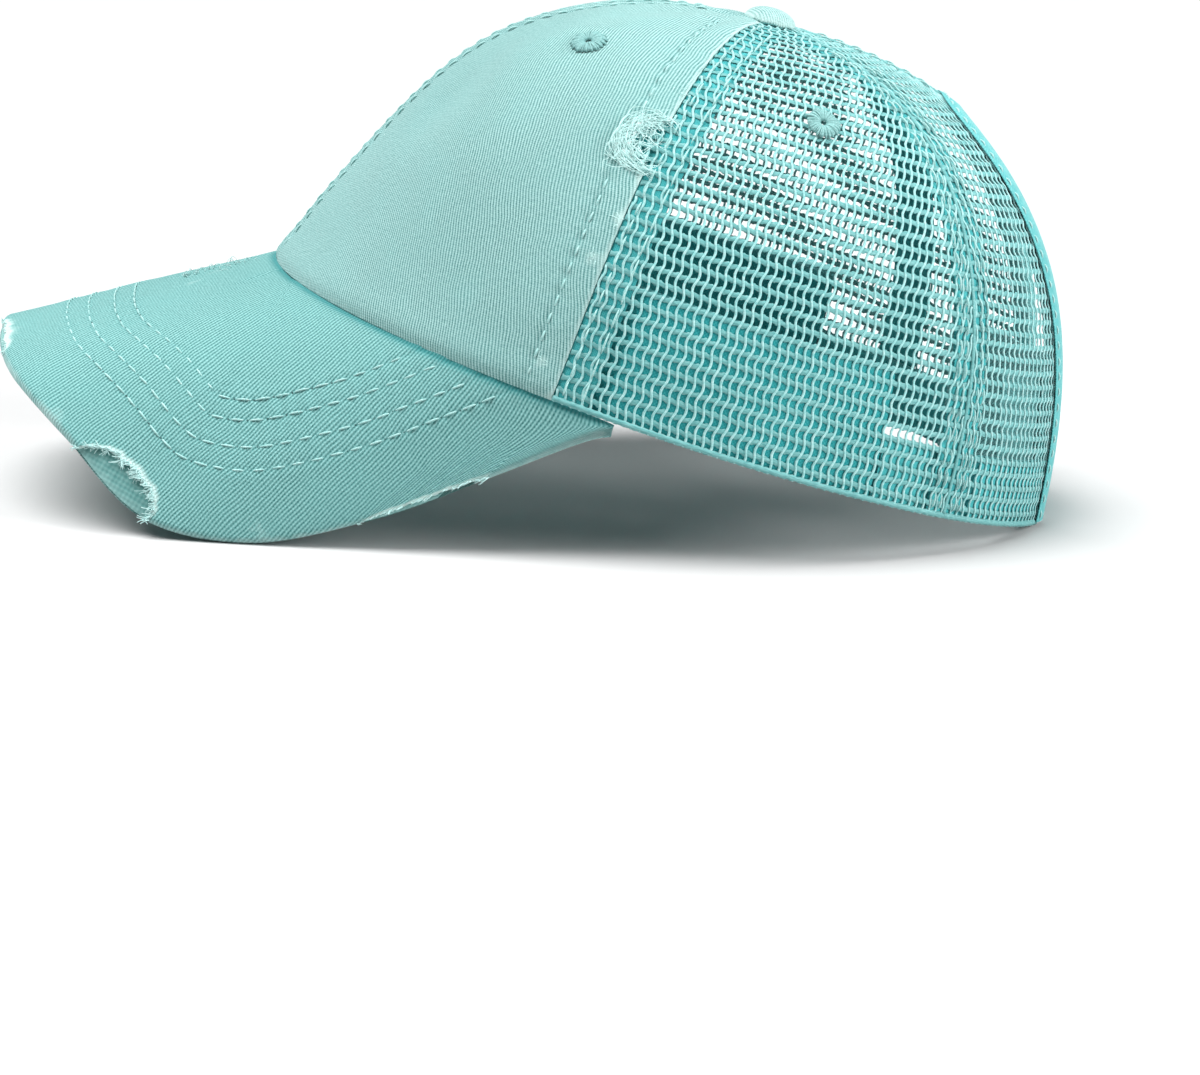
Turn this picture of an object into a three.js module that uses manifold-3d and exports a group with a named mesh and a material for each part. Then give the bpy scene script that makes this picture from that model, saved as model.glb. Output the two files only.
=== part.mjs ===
// Ponytail baseball cap: twill front, net back, curved peak and a tall opening for a ponytail.
// Millimetres, +Z up. The peak points to -X and the wearer's left side faces -Y.
import * as THREE from 'three';
import { mergeVertices } from 'three/addons/utils/BufferGeometryUtils.js';
import Module from 'manifold-3d';

const wasm = await Module();
wasm.setup();

// Crown
const HEM_LENGTH = 205;
const HEM_WIDTH = 157;
const CROWN_HEIGHT = 94.5;
const APEX_AHEAD = 5;
const APEX_SLOPE = 0.085;
const FRONT_SEAM = 71;
const BACK_SEAM = 131;

// Cloth thicknesses, and the clearance between sewn pieces
const TWILL = 1.2;
const NET = 1.2;
const TAPE = 1.0;
const SWEATBAND = 1.6;
const TAB = 1.1;
const GAP = 0.3;

// Bands inside the crown
const FRONT_TAPE_WIDTH = 15;
const FRONT_TAPE_SHIFT = 1;
const BACK_TAPE_WIDTH = 11;
const SWEATBAND_HEIGHT = 32;
const SWEATBAND_END = 117;
const HEM_TAPE_HEIGHT = 16.5;

// Ponytail opening and the closure below it
const OPENING_WIDTH = 44;
const OPENING_HEIGHT = 112;
const OPENING_ARCH = 46;
const BINDING_WIDTH = 7;
const BINDING = 1.0;
const TAB_HEIGHT = 38;
const TAB_ROOT = 145;
const TAB_OVERLAP = 30;
const TAB_EDGE = 1;

// Peak
const PEAK_REACH = 58;
const PEAK_DROP = 64;
const PEAK_TURN = 80;
const COVER = 1.0;
const BOARD = 1.6;
const UNDERSIDE = 1.0;
const BOARD_INSET = 1.6;

// Button and eyelets
const BUTTON_RADIUS = 6.5;
const BUTTON_HEIGHT = 3.4;
const BUTTON_SHANK = 2.4;
const SHANK_HOLE = 3.2;
const EYELET_RADIUS = 4.2;
const EYELET_HEIGHT = 0.9;
const EYELET_BARREL = 2.0;
const EYELET_HOLE = 1.0;

// How a crown meridian bends. turn is in degrees from the front. lean is how far the lower handle
// moves in and reach how far out the upper one starts, as shares of the hem radius there;
// rise is the lower handle's height as a share of the crown's.
const MERIDIANS = [
  { turn: 0, lean: 0.205, rise: 0.46, reach: 0.77 },
  { turn: 60, lean: 0.09, rise: 0.50, reach: 0.73 },
  { turn: 120, lean: 0.04, rise: 0.52, reach: 0.76 },
  { turn: 180, lean: 0.075, rise: 0.54, reach: 0.82 },
];

// Lines across the peak from the hem to its edge. ahead is a share of the peak's reach,
// down of its drop, and out of half the hem's width.
const PEAK_LINES = [
  { turn: 0, ahead: 1.02, down: 0.59, out: 0.00 },
  { turn: 24, ahead: 1.04, down: 0.66, out: 0.05 },
  { turn: 38, ahead: 0.99, down: 0.77, out: 0.03 },
  { turn: 50, ahead: 0.83, down: 0.94, out: 0.03 },
  { turn: 58, ahead: 0.60, down: 0.89, out: 0.00 },
  { turn: 66, ahead: 0.37, down: 0.65, out: -0.03 },
  { turn: 73, ahead: 0.21, down: 0.37, out: -0.03 },
  { turn: 80, ahead: 0.02, down: 0.03, out: 0.00 },
];

// Worn tears in the peak cover's edge, from front to back. turn is the middle of the tear.
const PEAK_TEARS = [
  { turn: 8, halfTurn: 8, depth: 5 },
  { turn: 45, halfTurn: 5, depth: 8 },
  { turn: 69, halfTurn: 4, depth: 3 },
];

// The tear in the left front panel at its seam. at and halfHeight are shares of the crown's meridian.
const PANEL_TEAR = { at: 0.47, halfHeight: 0.075, depth: 9 };

// Where the stitched eyelets sit. turn is in degrees from the front, at is a share of the meridian.
const EYELETS = [
  { panel: 'front_panel', name: 'front_eyelet', turn: 40, at: 0.66 },
  { panel: 'side_mesh', name: 'side_eyelet', turn: 101.5, at: 0.64 },
];

// Facets
const PANEL_COLUMNS = 8;
const PANEL_ROWS = 14;
const PEAK_ROWS = 5;
const PEAK_STEP = 5;
const BAND_STEP = 7;
const ROUND = 20;
const STEP = 1e-3;

const SIDES = [
  { side: 1, suffix: 'left' },
  { side: -1, suffix: 'right' },
];

const twill = new THREE.MeshStandardMaterial({ color: 0x9fd8d3, roughness: 0.95, metalness: 0 });
const net = new THREE.MeshStandardMaterial({ color: 0x7fd0cf, roughness: 0.9, metalness: 0 });
const lining = new THREE.MeshStandardMaterial({ color: 0x5fc0bf, roughness: 0.95, metalness: 0 });
const board = new THREE.MeshStandardMaterial({ color: 0x5fb5b0, roughness: 0.8, metalness: 0 });

const radians = THREE.MathUtils.degToRad;
const lerp = THREE.MathUtils.lerp;

// A smooth curve through a table's rows, read at a key. The table is mirrored past its first row.
function readTable(rows, key, value, column) {
  const mirrored = { ...rows[1], [key]: 2 * rows[0][key] - rows[1][key] };
  const list = [mirrored, ...rows];
  const last = list.length - 1;
  let i = 1;
  while (i < last - 1 && value > list[i + 1][key]) {
    i += 1;
  }
  const slope = (a, b) => (b[column] - a[column]) / (b[key] - a[key]);
  const span = list[i + 1][key] - list[i][key];
  const startSlope = slope(list[i - 1], list[i + 1]);
  const endSlope = slope(list[i], list[Math.min(i + 2, last)]);
  const t = (value - list[i][key]) / span;
  const t2 = t * t;
  const t3 = t2 * t;
  return (2 * t3 - 3 * t2 + 1) * list[i][column] + (t3 - 2 * t2 + t) * span * startSlope
    + (3 * t2 - 2 * t3) * list[i + 1][column] + (t3 - t2) * span * endSlope;
}

function hemPoint(turn) {
  return new THREE.Vector3(-HEM_LENGTH / 2 * Math.cos(turn), -HEM_WIDTH / 2 * Math.sin(turn), 0);
}

// A point on the outside of the crown: turn in radians from the front, share from hem to apex.
function crownPoint(turn, share) {
  const degrees = Math.abs(THREE.MathUtils.radToDeg(turn));
  const [lean, rise, reach] = ['lean', 'rise', 'reach'].map((column) => readTable(MERIDIANS, 'turn', degrees, column));
  const hem = hemPoint(turn);
  const low = new THREE.Vector3(hem.x * (1 - lean), hem.y * (1 - lean), CROWN_HEIGHT * rise);
  const apex = new THREE.Vector3(-APEX_AHEAD, 0, CROWN_HEIGHT);
  const high = new THREE.Vector3(hem.x, hem.y, APEX_SLOPE * hem.x).multiplyScalar(reach).add(apex);
  return new THREE.CubicBezierCurve3(hem, low, high, apex).getPoint(share);
}

function crownNormal(turn, share) {
  const across = crownPoint(turn + STEP, share).sub(crownPoint(turn - STEP, share));
  const along = crownPoint(turn, Math.min(share + STEP, 1 - STEP)).sub(crownPoint(turn, share - STEP));
  return across.cross(along).normalize();
}

// A point below the crown's outside by depth.
function crownInside(turn, share, depth) {
  return crownPoint(turn, share).addScaledVector(crownNormal(turn, share), -depth);
}

// Millimetres of crown surface to one radian of turn.
function turnLength(turn, share) {
  return crownPoint(turn + STEP, share).distanceTo(crownPoint(turn - STEP, share)) / (2 * STEP);
}

// The share of a meridian at which it has climbed to a height above the hem plane.
function shareAtHeight(turn, height) {
  let low = 0;
  let high = 1;
  for (let i = 0; i < 30; i += 1) {
    const middle = (low + high) / 2;
    if (crownPoint(turn, middle).z < height) {
      low = middle;
    } else {
      high = middle;
    }
  }
  return (low + high) / 2;
}

// Where the panels stop round the button's shank.
function topShare(turn) {
  const hem = hemPoint(turn);
  const reach = readTable(MERIDIANS, 'turn', Math.abs(THREE.MathUtils.radToDeg(turn)), 'reach');
  return 1 - SHANK_HOLE / (3 * reach * Math.hypot(hem.x, hem.y));
}

// Arc length up the centre back, and the share of the meridian at that length.
const BACK_STEPS = 60;
const backLengths = [0];
for (let i = 1; i <= BACK_STEPS; i += 1) {
  const step = crownPoint(Math.PI, i / BACK_STEPS).distanceTo(crownPoint(Math.PI, (i - 1) / BACK_STEPS));
  backLengths.push(backLengths[i - 1] + step);
}
function backLength(share) {
  const at = Math.min(share * BACK_STEPS, BACK_STEPS - STEP);
  const i = Math.floor(at);
  return lerp(backLengths[i], backLengths[i + 1], at - i);
}
function backShare(length) {
  let i = 0;
  while (i < BACK_STEPS - 1 && backLengths[i + 1] < length) {
    i += 1;
  }
  return (i + (length - backLengths[i]) / (backLengths[i + 1] - backLengths[i])) / BACK_STEPS;
}

// A point by cloth distances at the back: across from the centre, positive to the wearer's left, and up.
function backPoint(across, up, depth) {
  const share = backShare(up);
  const sign = Math.sign(across) || 1;
  const turn = sign * (Math.PI - Math.abs(across) / turnLength(Math.PI, share));
  return crownInside(turn, share, depth);
}

// Half the opening's width at a distance up the centre back.
function openingHalf(up) {
  const arch = (up - (OPENING_HEIGHT - OPENING_ARCH)) / OPENING_ARCH;
  if (arch >= 1) {
    return 0;
  }
  return OPENING_WIDTH / 2 * (arch > 0 ? Math.sqrt(1 - arch * arch) : 1);
}

// Geometry of triangles given as corner indices, turned to face out.
function solidGeometry(points, triangles) {
  let volume = 0;
  for (const [a, b, c] of triangles) {
    volume += points[a].dot(points[b].clone().cross(points[c]));
  }
  const geometry = new THREE.BufferGeometry();
  geometry.setAttribute('position', new THREE.Float32BufferAttribute(points.flatMap((p) => p.toArray()), 3));
  geometry.setIndex(triangles.flatMap(([a, b, c]) => (volume > 0 ? [a, b, c] : [a, c, b])));
  return geometry;
}

// A closed wall between two faces. columns and rows are lists of shares,
// and face(column, row, back) gives a point on the front or the back face.
function wall(columns, rows, face) {
  const points = [];
  for (const back of [false, true]) {
    for (const row of rows) {
      for (const column of columns) {
        points.push(face(column, row, back));
      }
    }
  }
  const wide = columns.length;
  const tall = rows.length;
  const front = (i, j) => j * wide + i;
  const behind = (i, j) => wide * tall + front(i, j);
  const triangles = [];
  const quad = (a, b, c, d) => triangles.push([a, b, c], [a, c, d]);
  for (let j = 0; j < tall - 1; j += 1) {
    for (let i = 0; i < wide - 1; i += 1) {
      quad(front(i, j), front(i + 1, j), front(i + 1, j + 1), front(i, j + 1));
      quad(behind(i, j), behind(i, j + 1), behind(i + 1, j + 1), behind(i + 1, j));
    }
    quad(front(0, j), front(0, j + 1), behind(0, j + 1), behind(0, j));
    quad(front(wide - 1, j), behind(wide - 1, j), behind(wide - 1, j + 1), front(wide - 1, j + 1));
  }
  for (let i = 0; i < wide - 1; i += 1) {
    quad(front(i, 0), behind(i, 0), behind(i + 1, 0), front(i + 1, 0));
    quad(front(i, tall - 1), front(i + 1, tall - 1), behind(i + 1, tall - 1), behind(i, tall - 1));
  }
  return solidGeometry(points, triangles);
}

// A closed sweep: section(i) gives the ring of points at each station.
function sweep(stations, section) {
  const rings = stations.map(section);
  const count = rings[0].length;
  const points = rings.flat();
  const triangles = [];
  for (let s = 0; s < rings.length - 1; s += 1) {
    for (let k = 0; k < count; k += 1) {
      const a = s * count + k;
      const b = s * count + (k + 1) % count;
      triangles.push([a, b, b + count], [a, b + count, a + count]);
    }
  }
  const flat = THREE.ShapeUtils.triangulateShape(SECTION_OUTLINE, []);
  const end = (rings.length - 1) * count;
  for (const [a, b, c] of flat) {
    triangles.push([a, c, b], [a + end, b + end, c + end]);
  }
  return solidGeometry(points, triangles);
}

function evenly(from, to, steps) {
  return Array.from({ length: steps + 1 }, (_, i) => lerp(from, to, i / steps));
}

function toManifold(geometry) {
  const bare = geometry.clone();
  bare.deleteAttribute('normal');
  bare.deleteAttribute('uv');
  const merged = mergeVertices(bare, 1e-4);
  return new wasm.Manifold(new wasm.Mesh({
    numProp: 3,
    vertProperties: new Float32Array(merged.attributes.position.array),
    triVerts: new Uint32Array(merged.index.array),
  }));
}

function fromManifold(solid) {
  const mesh = solid.getMesh();
  const geometry = new THREE.BufferGeometry();
  geometry.setAttribute('position', new THREE.BufferAttribute(new Float32Array(mesh.vertProperties), 3));
  geometry.setIndex(new THREE.BufferAttribute(new Uint32Array(mesh.triVerts), 1));
  return geometry;
}

function named(name, geometry, material) {
  const mesh = new THREE.Mesh(geometry, material);
  mesh.name = name;
  return mesh;
}

// How far a worn tear reaches in from an edge, at a place given in the tear's own units.
function bite(place, middle, half, depth) {
  const away = (place - middle) / half;
  return Math.abs(away) < 1 ? depth * Math.sqrt(1 - away * away) : 0;
}

// The rows of a panel, with extra ones where its edge turns quickly.
function panelRows(extra = []) {
  return [...evenly(0, 1, PANEL_ROWS), ...extra].sort((a, b) => a - b);
}

// One crown panel between two seams. start and stop give the turns of its edges at a share.
function panel(start, stop, rows, thickness) {
  const top = topShare((start(0) + stop(0)) / 2);
  return wall(evenly(0, 1, PANEL_COLUMNS), rows, (column, row, back) => {
    const share = row * top;
    const turn = lerp(start(share), stop(share), column);
    return crownInside(turn, share, back ? thickness : 0);
  });
}

// An edge half a gap inside a seam, on the side that the sign gives.
function seamEdge(turn, sign) {
  return (share) => turn + sign * GAP / 2 / turnLength(turn, share);
}

function eyeletPlace({ turn, at }, side) {
  const angle = side * radians(turn);
  const holder = new THREE.Object3D();
  holder.position.copy(crownPoint(angle, at));
  holder.quaternion.setFromUnitVectors(new THREE.Vector3(0, 1, 0), crownNormal(angle, at));
  holder.updateMatrix();
  return holder;
}

// A panel with the eyelet's hole cut through it.
function pierced(geometry, eyelet, side) {
  const hole = new THREE.CylinderGeometry(EYELET_BARREL + GAP, EYELET_BARREL + GAP, 6 * TWILL, ROUND);
  hole.applyMatrix4(eyeletPlace(eyelet, side).matrix);
  return fromManifold(toManifold(geometry).subtract(toManifold(hole)));
}

function frontPanel(side) {
  const tearTurn = (share) => {
    const depth = side > 0 ? bite(share, PANEL_TEAR.at, PANEL_TEAR.halfHeight, PANEL_TEAR.depth) : 0;
    return depth / turnLength(radians(FRONT_SEAM), share);
  };
  const seam = seamEdge(radians(FRONT_SEAM), -1);
  const rows = side > 0 ? panelRows(evenly(-0.99, 0.99, 7).map((s) => PANEL_TEAR.at + s * PANEL_TEAR.halfHeight)) : panelRows();
  const geometry = panel(
    (share) => side * seamEdge(0, 1)(share),
    (share) => side * (seam(share) - tearTurn(share)),
    rows,
    TWILL,
  );
  return pierced(geometry, EYELETS[0], side);
}

function sideMesh(side) {
  const front = seamEdge(radians(FRONT_SEAM), 1);
  const rear = seamEdge(radians(BACK_SEAM), -1);
  const geometry = panel((share) => side * front(share), (share) => side * rear(share), panelRows(), NET);
  return pierced(geometry, EYELETS[1], side);
}

// The back panel stops at the ponytail opening, and above it at the centre seam.
function backMesh(side) {
  const front = seamEdge(radians(BACK_SEAM), 1);
  const rear = (share) => {
    const half = Math.max(openingHalf(backLength(share)), GAP / 2);
    return Math.PI - half / turnLength(Math.PI, share);
  };
  const top = backShare(OPENING_HEIGHT) / topShare(Math.PI);
  const low = backShare(OPENING_HEIGHT - OPENING_ARCH) / topShare(Math.PI);
  const arch = [0.2, 0.4, 0.6, 0.75, 0.86, 0.94, 0.985, 1].map((s) => lerp(low, top, s));
  const rows = [...evenly(0, low, 6), ...arch, ...evenly(top, 1, 4).slice(1)];
  return panel((share) => side * front(share), (share) => side * rear(share), rows, NET);
}

// A strip of tape behind a seam, narrowing towards the button.
function seamTape(seam, width, shift, side) {
  const outer = Math.max(TWILL, NET) + GAP;
  const spread = 0.45;
  return wall([-1, 0, 1], evenly(0, 1, PANEL_ROWS), (column, row, back) => {
    const share = row * topShare(radians(seam));
    const length = turnLength(radians(seam), share);
    const half = Math.min(width / 2, spread * length);
    const turn = radians(seam) + (shift * half / (width / 2) + column * half) / length;
    return crownInside(side * turn, share, outer + (back ? TAPE : 0));
  });
}

// A band that follows the hem inside the crown between two turns, in degrees.
function hemBand(from, to, bottom, height, depth, thickness) {
  const steps = Math.max(2, Math.round(Math.abs(to - from) / BAND_STEP));
  return wall(evenly(radians(from), radians(to), steps), [0, 0.5, 1], (turn, row, back) => {
    const share = shareAtHeight(turn, bottom + row * height);
    return crownInside(turn, share, depth + (back ? thickness : 0));
  });
}

const BAND_DEPTH = Math.max(TWILL, NET) + GAP + TAPE + GAP;
const BAND_LIFT = 2;

function sweatband() {
  return hemBand(-SWEATBAND_END, SWEATBAND_END, BAND_LIFT, SWEATBAND_HEIGHT - BAND_LIFT, BAND_DEPTH, SWEATBAND);
}

function hemTape(side) {
  const start = SWEATBAND_END + THREE.MathUtils.radToDeg(2 * GAP / turnLength(radians(SWEATBAND_END), 0));
  const half = OPENING_WIDTH / 2 + BINDING + 2 * GAP;
  const stop = THREE.MathUtils.radToDeg(Math.PI - half / turnLength(Math.PI, 0));
  return hemBand(side * start, side * stop, BAND_LIFT, HEM_TAPE_HEIGHT - BAND_LIFT, BAND_DEPTH, TAPE);
}

// The binding's cross-section wraps the net's edge. inward is into the panel, out is off its face.
const BINDING_SECTION = [
  { inward: -GAP - BINDING, out: -NET - GAP - BINDING },
  { inward: BINDING_WIDTH, out: -NET - GAP - BINDING },
  { inward: BINDING_WIDTH, out: -NET - GAP },
  { inward: -GAP, out: -NET - GAP },
  { inward: -GAP, out: GAP },
  { inward: BINDING_WIDTH, out: GAP },
  { inward: BINDING_WIDTH, out: GAP + BINDING },
  { inward: -GAP - BINDING, out: GAP + BINDING },
];
const SECTION_OUTLINE = BINDING_SECTION.map(({ inward, out }) => new THREE.Vector2(inward, out));

// The path of the opening's edge from the left hem over the arch to the right hem, in cloth distances.
function openingPath() {
  const straight = OPENING_HEIGHT - OPENING_ARCH;
  const half = OPENING_WIDTH / 2;
  const left = evenly(TAB_EDGE, straight, 8).map((up) => ({ across: half, up, outAcross: 1, outUp: 0 }));
  const arch = evenly(0, Math.PI, 18).slice(1, -1).map((angle) => {
    const normal = new THREE.Vector2(Math.cos(angle) / half, Math.sin(angle) / OPENING_ARCH).normalize();
    return {
      across: half * Math.cos(angle),
      up: straight + OPENING_ARCH * Math.sin(angle),
      outAcross: normal.x,
      outUp: normal.y,
    };
  });
  const right = left.map((place) => ({ ...place, across: -half, outAcross: -1 })).reverse();
  return [...left, ...arch, ...right];
}

function openingBinding() {
  return sweep(openingPath(), ({ across, up, outAcross, outUp }) => BINDING_SECTION.map(({ inward, out }) => (
    backPoint(across + outAcross * inward, up + outUp * inward, -out)
  )));
}

// How deep the closure lies behind the crown's outside. It comes forward where it bridges the opening.
function closureDepth(across) {
  const bridge = THREE.MathUtils.smoothstep(Math.abs(across), OPENING_WIDTH / 5, OPENING_WIDTH / 2 - BINDING);
  const root = BAND_DEPTH + TAPE + GAP;
  const front = 2 * GAP;
  return front + (across > 0 ? root - front : root - front - TAB - GAP) * bridge;
}

// One closure tab, from its root inside a back panel to its free end past the centre.
function closureTab(side) {
  const root = (Math.PI - radians(TAB_ROOT)) * turnLength(Math.PI, 0);
  const tip = -TAB_OVERLAP / 2;
  const corner = TAB_HEIGHT / 6;
  const columns = [...evenly(root, OPENING_WIDTH / 2, 4), ...evenly(OPENING_WIDTH / 2, tip + corner, 9).slice(1), tip + corner / 3, tip];
  return wall(columns, [0, 0.5, 1], (across, row, back) => {
    const into = Math.max(0, 1 - (across - tip) / corner);
    const trim = corner * (1 - Math.sqrt(1 - into * into));
    const up = lerp(TAB_EDGE + trim, TAB_EDGE + TAB_HEIGHT - trim, row);
    const behind = side > 0 ? 0 : TAB + GAP;
    const depth = closureDepth(side * across) + behind + (back ? TAB : 0);
    return backPoint(side * across, up, depth);
  });
}

function peakLine(turn) {
  const degrees = Math.abs(THREE.MathUtils.radToDeg(turn));
  const [ahead, down, out] = ['ahead', 'down', 'out'].map((column) => readTable(PEAK_LINES, 'turn', degrees, column));
  const root = hemPoint(turn).add(new THREE.Vector3(Math.cos(turn), Math.sin(turn), 0).multiplyScalar(TWILL / 2));
  root.z = -GAP;
  const reach = new THREE.Vector3(-PEAK_REACH * ahead, -Math.sign(turn) * HEM_WIDTH / 2 * out, -PEAK_DROP * down);
  return { root, edge: hemPoint(turn).add(reach) };
}

// A point on the peak: turn picks the line from the hem, share runs from the hem to the edge.
function peakPoint(turn, share) {
  const { root, edge } = peakLine(turn);
  return root.lerp(edge, share);
}

function peakInside(turn, share, depth) {
  const across = peakPoint(turn + STEP, share).sub(peakPoint(turn - STEP, share));
  const along = peakPoint(turn, share + STEP).sub(peakPoint(turn, share - STEP));
  return peakPoint(turn, share).addScaledVector(along.cross(across).normalize(), -depth);
}

function peakColumns() {
  const steps = 2 * Math.round(PEAK_TURN / PEAK_STEP);
  const even = evenly(-PEAK_TURN, PEAK_TURN, steps);
  const torn = PEAK_TEARS.flatMap(({ turn, halfTurn }) => evenly(-0.99, 0.99, 6).map((s) => turn + s * halfTurn));
  return [...even, ...torn].sort((a, b) => a - b).filter((turn, i, all) => i === 0 || turn - all[i - 1] > 0.2);
}

// One layer of the peak up to a turn either side. inset(turn) is how far its outer edge stays back
// from the peak's. The layers share their columns and rows, so that they never touch.
function peakLayer(depth, thickness, farthest, inset) {
  const columns = peakColumns().filter((turn) => Math.abs(turn) <= farthest);
  return wall(columns, evenly(0, 1, PEAK_ROWS), (degrees, row, back) => {
    const turn = radians(degrees);
    const { root, edge } = peakLine(turn);
    const share = row < 1 ? row : 1 - inset(degrees) / root.distanceTo(edge);
    return peakInside(turn, share, depth + (back ? thickness : 0));
  });
}

function tearDepth(degrees) {
  return Math.max(0, ...PEAK_TEARS.map(({ turn, halfTurn, depth }) => bite(degrees, turn, halfTurn, depth)));
}

function button() {
  const profile = [
    [0, BUTTON_HEIGHT],
    [0.45, 0.93],
    [0.8, 0.62],
    [0.97, 0.28],
    [0.97, 0],
  ].map(([radius, height], i) => new THREE.Vector2(radius * BUTTON_RADIUS, GAP + (i ? height : 1) * BUTTON_HEIGHT));
  const shankEnd = -TWILL - TAPE - 2 * GAP;
  const shank = [new THREE.Vector2(BUTTON_SHANK, GAP), new THREE.Vector2(BUTTON_SHANK, shankEnd), new THREE.Vector2(0, shankEnd)];
  const mesh = named('button', new THREE.LatheGeometry([...profile, ...shank].reverse(), ROUND), twill);
  mesh.position.copy(crownPoint(0, 1));
  mesh.quaternion.setFromUnitVectors(new THREE.Vector3(0, 1, 0), new THREE.Vector3(-APEX_SLOPE, 0, 1).normalize());
  return mesh;
}

// A stitched eyelet: a raised ring on the panel and a short barrel through its hole.
function eyelet(place, side, suffix) {
  const ring = [
    [EYELET_HOLE, -TWILL - GAP],
    [EYELET_BARREL, -TWILL - GAP],
    [EYELET_BARREL, GAP],
    [EYELET_RADIUS, GAP],
    [EYELET_RADIUS, GAP + EYELET_HEIGHT / 2],
    [(EYELET_RADIUS + EYELET_HOLE) / 2, GAP + EYELET_HEIGHT],
    [EYELET_HOLE, GAP + EYELET_HEIGHT / 2],
    [EYELET_HOLE, -TWILL - GAP],
  ].map(([radius, height]) => new THREE.Vector2(radius, height));
  const mesh = named(`${place.name}_${suffix}`, new THREE.LatheGeometry(ring, ROUND), twill);
  const holder = eyeletPlace(place, side);
  mesh.position.copy(holder.position);
  mesh.quaternion.copy(holder.quaternion);
  return mesh;
}

function crown() {
  const group = new THREE.Group();
  for (const { side, suffix } of SIDES) {
    group.add(named(`front_panel_${suffix}`, frontPanel(side), twill));
    group.add(named(`side_mesh_${suffix}`, sideMesh(side), net));
    group.add(named(`back_mesh_${suffix}`, backMesh(side), net));
    group.add(named(`front_seam_tape_${suffix}`, seamTape(FRONT_SEAM, FRONT_TAPE_WIDTH, FRONT_TAPE_SHIFT, side), lining));
    group.add(named(`back_seam_tape_${suffix}`, seamTape(BACK_SEAM, BACK_TAPE_WIDTH, 0, side), lining));
    group.add(named(`hem_tape_${suffix}`, hemTape(side), lining));
    group.add(named(`closure_tab_${suffix}`, closureTab(side), lining));
    for (const place of EYELETS) {
      group.add(eyelet(place, side, suffix));
    }
  }
  group.add(named('sweatband', sweatband(), lining));
  group.add(named('opening_binding', openingBinding(), twill));
  group.add(button());
  return group;
}

function peak() {
  const group = new THREE.Group();
  const boardDepth = COVER + GAP;
  const undersideDepth = boardDepth + BOARD + GAP;
  group.add(named('peak_cover', peakLayer(0, COVER, PEAK_TURN, tearDepth), twill));
  group.add(named('peak_board', peakLayer(boardDepth, BOARD, PEAK_TURN - 2 * PEAK_STEP, () => BOARD_INSET), board));
  group.add(named('peak_underside', peakLayer(undersideDepth, UNDERSIDE, PEAK_TURN - PEAK_STEP, () => 0), twill));
  return group;
}

function lowest(group, tilt) {
  group.rotation.y = tilt;
  return new THREE.Box3().setFromObject(group, true).min.z;
}

// The tilt at which the peak's edges and the back of the hem both touch a table.
function restingTilt(crownGroup, peakGroup) {
  let low = 0;
  let high = Math.PI / 3;
  for (let i = 0; i < 30; i += 1) {
    const middle = (low + high) / 2;
    if (lowest(peakGroup, middle) < lowest(crownGroup, middle)) {
      low = middle;
    } else {
      high = middle;
    }
  }
  return (low + high) / 2;
}

// The cap as it rests, with the origin under the middle of its box.
function cap() {
  const crownGroup = crown();
  const peakGroup = peak();
  const tilt = restingTilt(crownGroup, peakGroup);
  crownGroup.rotation.y = 0;
  peakGroup.rotation.y = 0;
  const group = new THREE.Group();
  group.add(crownGroup, peakGroup);
  group.rotation.y = tilt;
  const box = new THREE.Box3().setFromObject(group, true);
  const middle = box.getCenter(new THREE.Vector3());
  group.position.set(-middle.x, -middle.y, -box.min.z);
  return group;
}

export default cap();
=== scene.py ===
"""Ponytail baseball cap: washed twill, knitted net, stitching and worn tears round the cap's solids.

Shapes are worked out in millimetres in the cap's own frame, with the hem in the plane z = 0,
and turned into the row's frame when a piece is made.
"""

import math

import bpy
import numpy as np
from mathutils import Matrix, Vector


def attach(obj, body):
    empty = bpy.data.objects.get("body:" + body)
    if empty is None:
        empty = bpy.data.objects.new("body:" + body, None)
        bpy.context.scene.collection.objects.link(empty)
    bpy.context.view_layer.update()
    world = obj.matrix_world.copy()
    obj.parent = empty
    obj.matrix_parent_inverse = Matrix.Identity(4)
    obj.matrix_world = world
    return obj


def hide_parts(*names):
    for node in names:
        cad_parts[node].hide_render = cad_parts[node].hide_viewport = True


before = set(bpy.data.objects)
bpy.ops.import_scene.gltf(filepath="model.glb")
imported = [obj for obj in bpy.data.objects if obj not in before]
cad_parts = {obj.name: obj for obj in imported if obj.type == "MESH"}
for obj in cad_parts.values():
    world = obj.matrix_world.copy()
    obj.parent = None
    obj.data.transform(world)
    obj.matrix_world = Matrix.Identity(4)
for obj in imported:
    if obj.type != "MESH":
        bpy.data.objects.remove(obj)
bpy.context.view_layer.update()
rng = np.random.default_rng(11)

# How the cap rests: its tilt about Y and the place of the hem's centre
TILT = math.radians(16.966)
HEM_CENTRE = np.array([32.607, 0.0, 28.829])

# Crown, as in the solids
HEM_LENGTH = 205.0
HEM_WIDTH = 157.0
CROWN_HEIGHT = 94.5
APEX_AHEAD = 5.0
APEX_SLOPE = 0.085
FRONT_SEAM = math.radians(71)
BACK_SEAM = math.radians(131)
SHANK_HOLE = 3.2
TWILL = 1.2
NET = 1.2
TAPE = 1.0
SWEATBAND = 1.6
TAB = 1.1
GAP = 0.3
FRONT_TAPE_WIDTH = 15.0
FRONT_TAPE_SHIFT = 1.0
BACK_TAPE_WIDTH = 11.0
SWEATBAND_HEIGHT = 32.0
SWEATBAND_END = math.radians(117)
HEM_TAPE_HEIGHT = 16.5
BAND_DEPTH = max(TWILL, NET) + GAP + TAPE + GAP

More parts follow.
